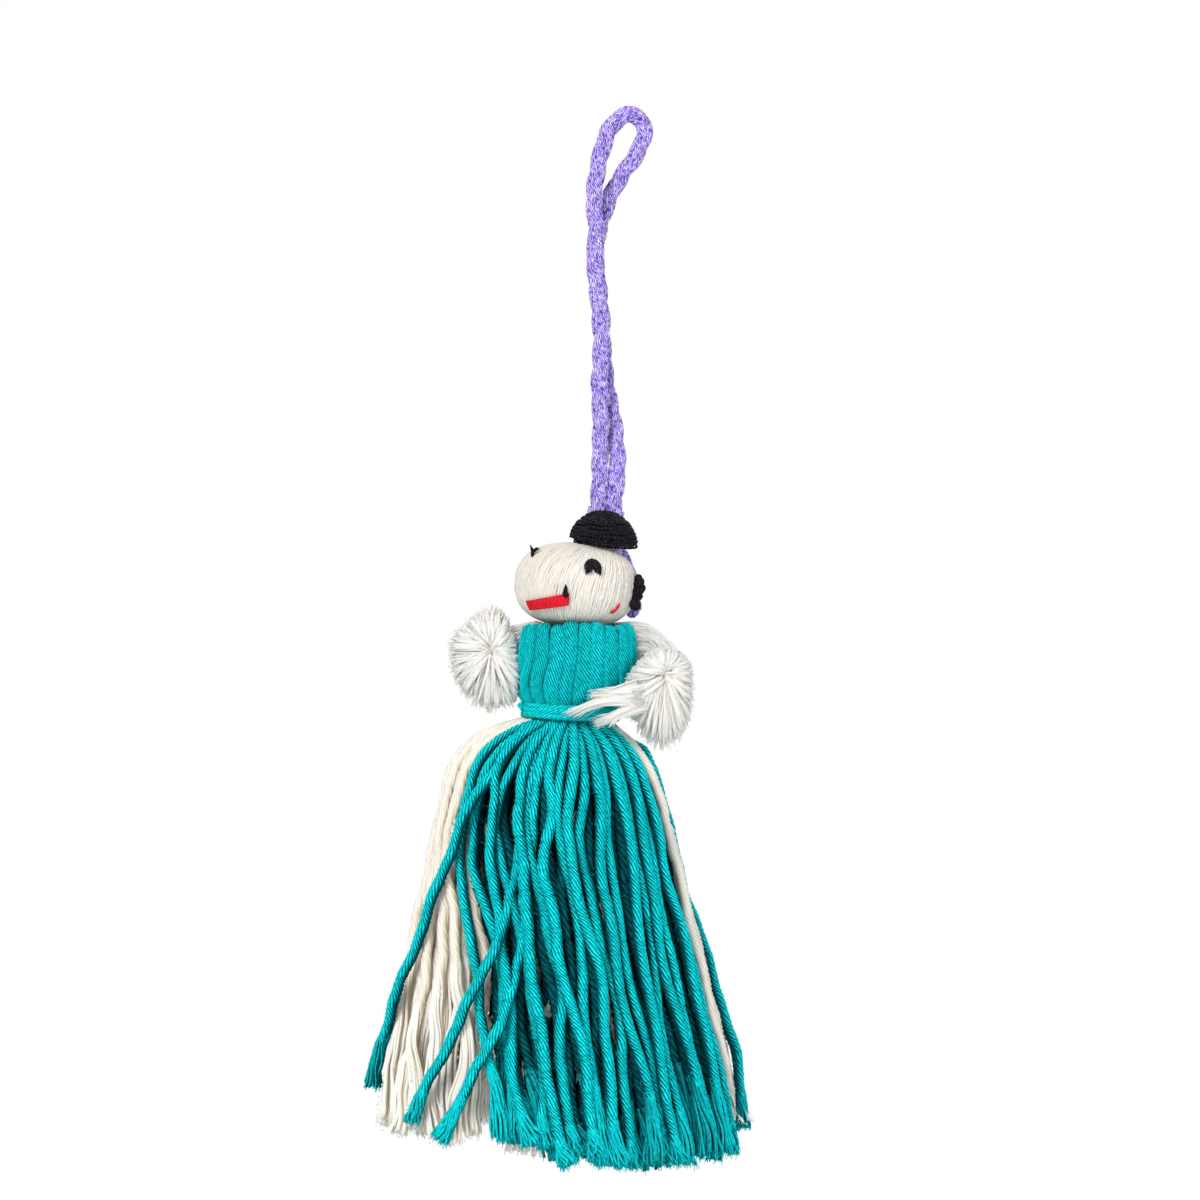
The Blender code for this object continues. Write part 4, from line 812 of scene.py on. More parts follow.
@dataclass
class HangingCord:
    """A doubled cord of three plaited strands of silky floss, and its two ends on the head.

    The route's points are in millimetres, from the left leg's foot round the eye to the right leg's.
    """

    diameter: float = 3.5 * MM
    strand_radius: float = 1.0 * MM
    strand_flatness: float = 0.7
    sway: float = 0.82 * MM
    weave: float = 0.5 * MM
    period: float = 16.8 * MM
    ring_step: float = 0.7 * MM
    tail_closing: float = 2.4 * MM
    filament_radius: float = 0.06 * MM
    route: tuple = (
        (-0.55, 0.0, -78.2), (-0.6, 0.0, -72.5), (-0.9, -0.45, -67.3), (-1.4, -1.5, -59.4),
        (-2.0, -1.95, -51.4), (-2.2, -1.95, -43.4), (-3.4, -1.95, -35.5), (-4.5, -1.95, -28.5),
        (-4.6, -1.95, -25.0), (-4.6, -1.95, -22.95), (-4.9, -1.95, -19.5), (-5.5, -1.9, -15.6),
        (-5.1, -1.3, -8.5), (-3.9, -0.5, -2.4), (-1.6, 0.0, 1.1), (1.0, 0.1, 1.9), (3.0, 0.2, 0.7),
        (3.5, 0.4, -2.2), (2.3, 0.8, -5.6), (-0.3, 1.5, -10.0), (-2.3, 1.9, -14.2), (-3.6, 1.95, -18.6),
        (-4.4, 1.95, -22.95), (-4.6, 1.95, -25.0), (-4.4, 1.95, -28.5), (-3.1, 1.95, -35.5),
        (-1.9, 1.95, -43.4), (-0.7, 1.95, -51.4), (1.2, 1.5, -59.4), (2.6, 0.45, -67.3),
        (2.55, 0.0, -72.5), (2.5, 0.0, -78.2))
    blend_start: tuple = (-4.6, 0.0, -22.0)
    blend_end: tuple = (-4.6, 0.0, -28.0)

    def plait(self, piece: Piece, line: Array, start: float, seed: int, closed: float = 0.0) -> None:
        """Plait three strands along a centreline, with single filaments that lie a little off their line.

        Args:
            piece: The piece that gets them.
            line: The cord's centreline, at even steps.
            start: How far into the plait's period the line starts.
            seed: The seed of what varies.
            closed: The length of the end over which the strands draw together.
        """
        rng = np.random.default_rng(seed)
        along = unit(np.gradient(line, axis=0))
        across = unit(np.cross(along, [0.0, 1.0, 0.0]))
        deep = np.cross(across, along)
        arc = arc_lengths(line)
        left = (arc[-1] - arc) / closed if closed else np.ones(len(arc))
        draw = 0.35 + 0.65 * np.sqrt(np.clip(left, 0, 1))
        strands = []
        for k in range(3):
            phase = TURN * ((arc + start) / self.period + k / 3)
            uneven = 1 + 0.12 * np.sin(TURN * arc / (37 * MM) + rng.uniform(0, 6))
            x = self.sway * draw * uneven * np.sin(phase)
            y = self.weave * draw * np.sin(2 * phase)
            strands.append(line + across * x[:, None] + deep * y[:, None])
        paths = np.stack(strands)
        radii = self.strand_radius * draw * (1 + 0.05 * waves(rng, 3, np.linspace(0, 1, len(line))[None, :], 9))
        piece.add(Threads(paths, radii, 28, seed, 14, 0.2, 15.0 * MM, self.strand_flatness, np.stack([deep] * 3)))
        rings = len(line)
        _, across, out = frames(paths)
        lines = []
        for strand in range(3):
            for _ in range(max(8, rings)):
                length = int(rng.integers(5, 11))
                first = int(rng.integers(0, max(1, rings - length)))
                span = (strand, slice(first, first + length))
                angle = rng.uniform(0, TURN) + np.linspace(0, rng.uniform(-1.2, 1.2), length)
                lift = self.strand_radius * (0.93 + rng.uniform(0, 0.12) * np.sin(np.linspace(0, math.pi, length)))
                lines.append(resample(paths[span] + across[span] * (np.cos(angle) * lift)[:, None]
                                      + out[span] * (np.sin(angle) * lift * self.strand_flatness)[:, None], 8))
        piece.add(Threads(np.stack(lines), self.filament_radius * np.ones((len(lines), 8)), 4,
                          int(rng.integers(SEED_RANGE))))

    def build(self, tails: dict[str, Array]) -> None:
        """Build the cord and its two tails.

        Args:
            tails: The tails' centrelines by side.
        """
        rough = spline(in_metres(self.route), 400)
        length = float(arc_lengths(rough)[-1])
        line = resample(rough, int(length / self.ring_step))
        piece = Piece("hanging_cord", "cord_legs", LAVENDER_FLOSS)
        self.plait(piece, line, 0.0, 3)
        made = piece.finish()
        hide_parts("hanging_cord_eye", "hanging_cord_left_leg", "hanging_cord_right_leg")
        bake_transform(made)
        tuple(line[0])
        LOG.info("hanging_cord: %.0f mm long", length / MM)
        for number, (side, tail) in enumerate(tails.items()):
            end = Piece(f"cord_tail_{side}", "head", LAVENDER_FLOSS)
            steps = int(arc_lengths(tail)[-1] / self.ring_step)
            self.plait(end, resample(tail, steps), length * number, 5 + number, self.tail_closing)
            end.place()


# Skirt


@dataclass
class YarnRow:
    """One row of yarns of a sheet. Lengths and distances inwards are in millimetres."""

    yarn: PliedYarn
    sheet: str
    length: float
    inset: float = 0.0
    shift: float = 0.0
    radius: float = 1.2
    seed: int = 1
    share: float = 1.0
    alternate: float = 0.0
    gather: float = 0.0
    deepens: float = 0.0


@dataclass
class Skirt:
    """The yarns that hang from the waist: teal outside, cream inside, a few out of place."""

    drop: float = 87.0 * MM
    waist: tuple = (-3.375 * MM, -3.5 * MM, -119.54 * MM)
    neck_width: float = 17.0 * MM
    neck_depth: float = 11.0 * MM
    hips: tuple = (7.0 * MM, 15.0 * MM)
    hip_drop: float = 4.0 * MM
    flares: tuple = (0.315, 0.155)
    flare_end: float = 77.0 * MM
    front_hip: float = 8.0 * MM
    front_hip_drop: float = 7.0 * MM
    front_flare: float = 0.13
    drift: tuple = (2.6 * MM, 1.5 * MM)
    counts: tuple = (("front", 18), ("right_cream", 2), ("right_edge", 1), ("back", 18), ("left_cream", 9))
    ring_count: int = 10
    sheet_gap: float = 1.36
    front_right: float = -22.0
    swing: float = 30.0
    bulge: tuple = ((0, -6), (6, -11), (12, -16), (22, -17), (30, -13), (38, -6), (50, -1), (87, 0))
    start_drop: float = -3.4 * MM
    gathered_inset: float = 1.1 * MM
    settle_drop: float = 16.0 * MM
    sway: float = 0.5
    path_points: int = 90
    loose_radius: float = 1.15 * MM
    lint_radius: float = 0.07 * MM
    angles: dict = field(default_factory=dict)

    def __post_init__(self) -> None:
        """Space the yarns evenly round the waist, sheet by sheet."""
        front = dict(self.counts)["front"]
        position = 1.0 - front
        slots = {}
        for name, count in self.counts:
            slots[name] = position + np.arange(count)
            position += count - 1 + self.sheet_gap
        total = position + front - 1
        steps = 720
        middles = np.radians(self.front_right + 360 * (np.arange(steps) + 0.5) / steps)
        flatness = self.neck_depth / self.neck_width
        lengths = np.concatenate([[0], np.cumsum(np.hypot(np.sin(middles), flatness * np.cos(middles)))])
        turns = self.front_right + 360 * np.arange(steps + 1) / steps
        for name, places in slots.items():
            whole, part = np.divmod(places, total)
            self.angles[name] = np.interp(lengths[-1] * part / total, lengths, turns) + 360 * whole

    def swung(self, angle: Array, drop: Array) -> Array:
        """Move the seam of teal and cream at the left front to the right towards the hem.

        Args:
            angle: Angles round the skirt, in degrees.
            drop: Drops below the waist.

        Returns:
            The angles at those drops.
        """
        front_left = self.angles["front"][0]
        back_left = self.angles["left_cream"][0] - 360
        wrapped = (angle - back_left) % 360 + back_left
        rising = (wrapped - back_left) / (front_left - back_left)
        falling = np.clip((self.front_right - wrapped) / (self.front_right - front_left), 0, None)
        weight = np.where(wrapped < front_left, rising, falling)
        drops, turns = np.array(self.bulge, float).T
        left = np.interp(drop, drops * MM, turns) * weight ** 2
        return wrapped + self.swing * weight * np.clip(drop / self.drop, 0, 1) ** 1.3 + left

    def point(self, angle: Array, drop: Array, inset: Array | float, share: float = 1.0) -> Array:
        """Find a point on the skirt.

        Args:
            angle: Angles round the skirt, in degrees; the front is at -90.
            drop: Drops below the waist.
            inset: Distances inwards from the outline.
            share: How far from the middle to the outline.

        Returns:
            The points.
        """
        turn = np.radians(angle)
        across, deep = np.cos(turn), np.sin(turn)
        left = (1 - across) / 2
        hip = self.hips[0] + (self.hips[1] - self.hips[0]) * left
        fall = np.maximum(0, drop - 0.6 * MM)
        right_fall = np.minimum(fall, self.flare_end + 0.1 * (fall - self.flare_end))
        flare = self.flares[0] * (1 - left) * right_fall + self.flares[1] * left * fall
        half_width = self.neck_width / 2 + hip * (1 - np.exp(-fall / self.hip_drop)) + flare
        half_depth = (self.neck_depth / 2 + self.front_hip * (1 - np.exp(-fall / self.front_hip_drop))
                      + self.front_flare * fall)
        x = self.waist[0] + self.drift[0] * fall / self.drop + share * (half_width - inset) * across
        y = self.waist[1] + self.drift[1] * fall / self.drop + share * (half_depth - inset) * deep
        return np.stack([x, y, self.waist[2] - drop + 0 * turn], axis=-1)

    def path(self, angle: float, spread: float, row: YarnRow, number: int, rng: Rng) -> Array:
        """Draw one yarn's centreline from the waist to its end.

        Args:
            angle: Its angle at the waist, in degrees.
            spread: The angle between neighbours, in degrees.
            row: The row that it is in.
            number: Its number in the row.
            rng: The source of random values.

        Returns:
            The centreline.
        """
        length = row.length * MM
        drop = np.linspace(self.start_drop, length * 1.05, self.path_points)
        fall = np.clip(drop / self.settle_drop, 0, 1)
        shares = np.clip(drop / self.drop, 0, 1.05)
        wave, ripple, deep = (waves(rng, 1, shares[None, :], turns)[0] for turns in (1.3, 4.5, 1.1))
        layer = row.alternate * (number % 2 + 0.35 * deep)
        tucked = self.gathered_inset + (row.gather + 0.7 * row.alternate * (number % 2)) * MM
        inset = tucked + (row.inset * MM + (layer + 0.3 * ripple + row.deepens * shares) * MM - tucked) * fall
        sway = spread * fall * (self.sway * wave + 0.07 * ripple)
        line = self.point(self.swung(angle + sway, drop), drop, inset, row.share)
        zero = np.interp(0.0, drop, arc_lengths(line))
        return resample(line, self.path_points, zero + length * (1 + 0.014 * rng.uniform(-1, 1)))

    def sheet(self, name: str, finishes: Sequence[ThreadFinish], nodes: Sequence[str],
              rows: Sequence[YarnRow]) -> None:
        """Build one sheet of yarns.

        Args:
            name: The piece's name.
            finishes: Its finishes, the second for the lint on its ends.
            nodes: The CAD nodes that it replaces.
            rows: Its rows of yarns.
        """
        piece = Piece(name, "skirt", *finishes)
        for row in rows:
            rng = np.random.default_rng(row.seed)
            if row.sheet == "ring":
                spread = 360 / self.ring_count
                angles = spread * np.arange(self.ring_count) + row.shift
            else:
                angles = self.angles[row.sheet]
                spread = (angles[-1] - angles[0]) / max(1, len(angles) - 1)
                angles = angles + row.shift * spread
            paths = [self.path(angle, spread, row, k, rng) for k, angle in enumerate(angles)]
            row.yarn.lay(piece, paths, row.radius * MM * rng.uniform(0.9, 1.06, len(paths)), row.seed)
            if len(finishes) > 1:
                self._lint(piece, paths, row.seed)
        piece.place(nodes)

    def _lint(self, piece: Piece, paths: Sequence[Array], seed: int) -> None:
        """Scatter bits of teal fibre, from the cut ends of the teal yarns, over the ends of cream ones.

        Args:
            piece: The cream sheet.
            paths: Its yarns' centrelines.
            seed: The seed of where they lie.
        """
        rng = np.random.default_rng(seed)
        starts = []
        for path in paths:
            spots = path[-1 - (12 * rng.uniform(0, 1, 7) ** 2).astype(int)]
            outward = unit((spots - np.array(self.waist)) * [1.0, 1.0, 0.0])
            starts.append(spots + outward * 1.2 * MM + rng.normal(0, 0.7, (7, 3)) * MM)
        start = np.concatenate(starts)
        lead, curl = unit(rng.normal(size=(2, len(start), 3)))
        steps = np.linspace(0, 1, 6)[None, :, None]
        reach = rng.uniform(0.4, 1.2, (len(start), 1, 1)) * MM
        path = start[:, None] + (lead[:, None] * steps + 0.4 * curl[:, None] * steps ** 2) * reach
        piece.add(Threads(path, np.full((len(start), 6), self.lint_radius), 3, seed, material=1))

    def loose(self, yarn: PliedYarn, name: str, angles: Sequence[float], drops: tuple,
              insets: Sequence[float], seed: int) -> None:
        """Build one yarn that comes out from under the sheets and hangs apart from them.

        Args:
            yarn: The kind of yarn.
            name: The piece's name, which is also its CAD node's.
            angles: Its angle at even drops, in degrees.
            drops: The drops of its start and end, as shares of the skirt's.
            insets: Its distance inwards from the outline at even drops, in millimetres.
            seed: The seed of what varies.
        """
        out = np.linspace(drops[0], drops[1], 40) * self.drop
        under = np.linspace(self.start_drop, out[0] - 7 * MM, 14) if out[0] > 12 * MM else np.array(
            [self.start_drop, 0.0, 4 * MM])
        drop = np.concatenate([under, out])
        angle = np.concatenate([np.full(len(under), angles[0]),
                                np.interp(out, np.linspace(out[0], out[-1], len(angles)), angles)])
        hidden = np.interp(under, [0.0, 14 * MM], [self.gathered_inset, 3.0 * MM])
        shown = np.interp(out, np.linspace(out[0], out[-1], len(insets)), np.array(insets) * MM)
        line = resample(self.point(angle, drop, np.concatenate([hidden, shown])), self.path_points)
        shares = np.linspace(0, 1, len(line))[None, :]
        across = unit(np.cross(np.gradient(line, axis=0), [0.0, 1.0, 0.0]))
        line = line + across * (0.4 * MM * waves(np.random.default_rng(seed), 1, shares, 4.0)[0])[:, None]
        piece = Piece(name, "skirt", TEAL_COTTON)
        yarn.lay(piece, [spline(line[::3], self.path_points)], np.array([self.loose_radius]), seed, spread=0.6)
        piece.place()

    def build(self) -> None:
        """Build the whole skirt, with fewer stray hairs while the script is being worked on."""
        hairs = 70
        axis = self.waist[:2]
        # Light shares below one paint shade: the inner rows lie in the outer row's shadow, and the opened ends in
        # each other's
        outer = PliedYarn(hairs=hairs, slim=0.82, end_light=0.43, axis=axis)
        inner = PliedYarn(12, 6, ring_step=1.6 * MM, singles=12, tips=1, hairs=0, single_radius=0.34 * MM,
                          fray_shortest=5 * MM, light=0.12, end_light=0.3, axis=axis)
        ribbon = PliedYarn(20, 10, 0.1, 17.0 * MM, 5, 0.16, singles=15, single_radius=0.36 * MM,
                           single_rings=22, fray_shortest=24 * MM, fray_longest=48 * MM, fray_spread=0.8 * MM,
                           hairs=hairs // 2, slim=0.85, end_light=0.8, axis=axis, flank=0.65)
        core = PliedYarn(10, 5, ring_step=1.6 * MM, singles=9, tips=1, hairs=0, single_radius=0.36 * MM, slim=0.7)
        edge_yarn = PliedYarn(16, 8, 0.14, hairs=hairs, slim=0.82)
        teal, cream = (TEAL_COTTON,), (CREAM_COTTON,)
        self.sheet("skirt_front", teal, ["skirt_front"],
                   [YarnRow(outer, "front", 90.3, 1.2, radius=1.16, seed=11, alternate=1.5)])
        self.sheet("skirt_front_inside", teal, [],
                   [YarnRow(inner, "front", 89.6, 4.6, 0.5, 1.35, 12, gather=1.8),
                    YarnRow(inner, "front", 88.6, 7.4, 0.1, 1.35, 13, gather=2.6)])
        self.sheet("skirt_back", teal, ["skirt_back"],
                   [YarnRow(outer, "back", 89.5, 1.2, radius=1.16, seed=21, alternate=1.5)])
        self.sheet("skirt_back_inside", teal, [], [YarnRow(inner, "back", 88.5, 4.8, 0.5, 1.35, 22, gather=1.8)])
        self.sheet("underskirt_left", cream + teal, ["underskirt_left"],
                   [YarnRow(ribbon, "left_cream", 92.0, 1.3, radius=1.25, seed=31, alternate=1.0),
                    YarnRow(ribbon, "left_cream", 90.5, 4.2, 0.5, 1.3, 32, gather=1.6)])
        self.sheet("underskirt_right", cream, ["underskirt_right"],
                   [YarnRow(edge_yarn, "right_cream", 86.0, 0.8, 0.4, 1.1, 41, deepens=2.3)])
        self.sheet("underskirt_core", cream, ["underskirt_core"],
                   [YarnRow(ribbon, "ring", 89.5, seed=51, share=0.66),
                    YarnRow(core, "ring", 87.0, shift=18.0, seed=52, share=0.46),
                    YarnRow(core, "ring", 88.0, shift=7.0, seed=53, share=0.24)])
        edge = float(self.angles["right_edge"][0])
        for strand in (("loose_strand_left", (-133, -138, -143, -149, -156, -165, -174, -180), (0.13, 0.89),
                        (1.5, *[-1.5] * 7), 61),
                       ("crossing_strand_upper", (-113, -115, -119.5, -124.5, -129.5, -134.5, -138.5),
                        (0.44, 0.94), (1.6, *[-1.5] * 6), 62),
                       ("crossing_strand_lower", (-107, -109, -113, -117.5, -122, -125.5), (0.60, 0.97),
                        (1.6, *[-1.5] * 5), 63),
                       ("right_edge_strand", (edge - 8, edge - 4, edge, edge - 8, edge - 14, edge - 16),
                        (0.06, 0.93), (-0.3, 1.2, 0.9, 0.2, 0.2, 2.6), 64)):
            self.loose(outer, *strand)


# Head


@dataclass
class Head:
    """The wrapped head: wadding, fine threads over it from the crown to the neck. Places in millimetres."""

    middle: tuple = (-4.075, -3.5, -92.7)
    radii: tuple = (12.1, 10.5, 8.6)
    boxiness: float = 0.06
    neck: tuple = (-3.375, -3.5, -103.3)
    neck_radius: float = 2.2 * MM
    crown_shift: tuple = (0.3, -0.03)
    threads: int = 250
    thread_radius: float = 0.3 * MM
    wadding_depth: float = 0.45 * MM
    path_points: int = 44

    def on(self, turn: Array | float, lift: Array | float, stand_off: Array | float) -> Array:
        """Find a point off the head's surface.

        Args:
            turn: Angles round the head in degrees, zero at the front.
            lift: Angles above its middle, in degrees.
            stand_off: Distances off the surface.

        Returns:
            The points.
        """
        turn, lift = np.radians(np.asarray(turn, float)), np.radians(np.asarray(lift, float))
        boxy = (1 + self.boxiness * np.sin(2 * lift) ** 2)[..., None]
        reach = in_metres(self.radii) * boxy
        spot = reach * np.stack([np.cos(lift) * np.sin(turn), -np.cos(lift) * np.cos(turn), np.sin(lift)],
                                axis=-1)
        return in_metres(self.middle) + spot + unit(spot / reach ** 2) * np.asarray(stand_off)[..., None]

    def meridian(self, turn: float, inset: float, rng: Rng) -> tuple[Array, Array]:
        """Draw a thread from the crown to the end of the neck.

        Args:
            turn: Its angle round the head, in degrees.
            inset: How deep its centre is under the surface.
            rng: The source of random values.

        Returns:
            The thread's centreline and radii.
        """
        share = np.linspace(0.02, 1.0, self.path_points)
        polar = share * math.radians(166.5)
        wander = np.radians(waves(rng, 1, share[None, :], 1.3)[0] * 1.1)
        around = math.radians(turn) + wander * np.sin(polar)
        direction = np.stack([np.sin(polar) * np.sin(around), -np.sin(polar) * np.cos(around),
                              np.cos(polar)], axis=1)
        weight = ((1 + np.cos(polar)) / 2) ** 2
        direction[:, 0] += self.crown_shift[0] * weight
        direction[:, 1] += self.crown_shift[1] * weight
        direction = unit(direction)
        lift = np.degrees(np.arcsin(np.clip(direction[:, 2], -1, 1)))
        angle = np.degrees(np.arctan2(direction[:, 0], -direction[:, 1]))
        line = self.on(angle, lift, -inset + 0.05 * MM * waves(rng, 1, share[None, :], 4)[0])
        last = math.radians(float(angle[-1]))
        ring = np.array([math.sin(last), -math.cos(last), 0.0])
        tail = [in_metres(self.neck) + ring * (self.neck_radius - inset) * s
                + np.array([0, 0, self.neck_radius * h])
                for h, s in ((0.5, 0.9), (-0.2, 0.88), (-0.7, 0.6), (-0.82, 0.3))]
        line = resample(np.vstack([line, tail]), self.path_points + 8)
        height = (line[:, 2] - self.middle[2] * MM) / (self.radii[2] * MM)
        width = np.clip(np.sqrt(np.clip(1 - height ** 2, 0, 1)), 0.42, 1.0)
        return line, self.thread_radius * width * rng.uniform(0.85, 1.2)

    def build(self) -> None:
        """Build the head's wadding, just under the threads, and the threads."""
        core = pad("head_core", in_metres(self.middle), in_metres(self.radii), HEAD_WADDING_PAINTED_SHADE, 64)
        for vertex in core.data.vertices:
            direction = unit((np.array(vertex.co) - in_metres(self.middle)) / in_metres(self.radii))
            lift = math.degrees(math.asin(max(-1.0, min(1.0, direction[2]))))
            turn = math.degrees(math.atan2(direction[0], -direction[1]))
            vertex.co = self.on(turn, lift, -self.wadding_depth)
        core.data.update()
        place(core, "head", HEAD_WADDING_PAINTED_SHADE, ["head_core"])
        rng = np.random.default_rng(7)
        piece = Piece("head_yarn", "head", HEAD_THREAD)
        for layer, (count, inset) in enumerate(((self.threads, 0.32), (self.threads // 2, 0.2))):
            turns = 360 * (np.arange(count) + rng.uniform(-0.22, 0.22, count) + 0.5 * layer) / count
            drawn = [self.meridian(float(t), inset * MM + rng.uniform(0, 0.1) * MM, rng) for t in turns]
            piece.add(Threads(np.stack([line for line, _ in drawn]), np.stack([r for _, r in drawn]), 5,
                              70 + layer))
        piece.place()

    def tails(self, base: Sequence[float], offset: float, bun: "Bun", cord: float) -> dict[str, Array]:
        """Draw the cord's two ends, from behind the bun down the back of the head.

        Args:
            base: Where the cord's legs end, in millimetres.
            offset: How far to each side of that the ends begin.
            bun: The bun that they pass.
            cord: The cord's diameter.

        Returns:
            The two centrelines by side.
        """
        stand_off = cord / 2 + 0.3 * MM
        made = {}
        for side, sign, turns, lifts in (("left", -1, (155.0, 152.0, 150.0, 148.0), (43.0, 20.0, 0.0, -18.0)),
                                         ("right", 1, (133.0, 131.0, 126.0, 110.0), (43.0, 20.0, -4.0, -29.0))):
            top = in_metres(base) + np.array([sign * offset, 0, -stand_off])
            down = self.on(turns, lifts, stand_off)
            back = bun.middle[1] * MM + bun.radii[1] * MM
            bend = np.array([top[0], back - bun.radii[1] * MM * 0.28 + stand_off, top[2] - cord / 2])
            behind = np.array([(top[0] + down[0][0]) / 2, back + stand_off, (bend[2] + down[0][2]) / 2])
            made[side] = spline(np.vstack([top, bend, behind, down]), 90)
        return made


@dataclass
class Bun:
    """The bun of black floss wound round a pad on top of the head. Places in millimetres."""

    head: Head
    middle: tuple = (0.975, -4.5, -84.1)
    radii: tuple = (6.9, 5.1, 6.6)
    top: float = -77.5 * MM
    overhang: float = 0.9 * MM
    loops: int = 46
    loop_points: int = 66
    floss_radius: float = 0.3 * MM

    def point(self, turn: Array, rise: Array, inset: float) -> Array:
        """Find a point on the bun.

        Args:
            turn: Angles round it, in radians.
            rise: Shares of the way from its rim to its top.
            inset: The distance inwards.

        Returns:
            The points.
        """
        x0, y0, z0 = in_metres(self.middle)
        half_width, half_depth, _ = in_metres(self.radii) - inset
        across = np.cos(rise * math.pi / 2)
        x = x0 + half_width * across * np.sin(turn)
        y = y0 - half_depth * across * np.cos(turn)
        rim_x, rim_y = x0 + half_width * np.sin(turn), y0 - half_depth * np.cos(turn)
        hx, hy, hz = in_metres(self.head.middle)
        rx, ry, rz = in_metres(self.head.radii)
        spread = ((rim_x - hx) / rx) ** 2 + ((rim_y - hy) / ry) ** 2
        boxy = 1 + self.head.boxiness
        head_top = hz + rz * boxy * np.sqrt(np.clip(1 - spread / boxy ** 2, 0, 1))
        rim = np.maximum(head_top + 0.3 * MM, z0 - self.overhang) + inset
        return np.stack([x, y, rim + (self.top - inset - rim) * np.sin(rise * math.pi / 2)], axis=-1)

    def build(self) -> None:
        """Build the bun's pad and its windings."""
        centre = in_metres(self.middle) - np.array([0, 0, 0.6 * MM])
        size = in_metres(self.radii) - np.array([0.8, 0.8, 0.3]) * MM
        place(pad("bun_core", centre, size, BLACK_FLOSS, 40, centre[2] + 0.2 * MM), "head", BLACK_FLOSS,
              ["bun_core"])
        rng = np.random.default_rng(17)
        around = np.linspace(math.pi, 3 * math.pi, self.loop_points)
        loops, sizes = [], []
        for k in range(self.loops):
            rise = 0.97 * (k + 0.5) / self.loops
            rise = 1 - (1 - rise) ** 0.9
            tilt = 0.07 * np.sin(around + rng.uniform(-0.4, 0.9)) + 0.03 * np.sin(2 * around + rng.uniform(0, 6))
            heights = np.clip(rise + tilt + rng.uniform(-0.012, 0.012), 0.0, 0.985)
            loops.append(self.point(around, heights, self.floss_radius + rng.uniform(-0.12, 0.18) * MM))
            sizes.append(np.full(self.loop_points, self.floss_radius * rng.uniform(0.9, 1.12)))
        piece = Piece("bun_winding", "head", BLACK_FLOSS)
        piece.add(floss(loops, sizes, 18, 0.28, 1.5 * MM))
        piece.place()


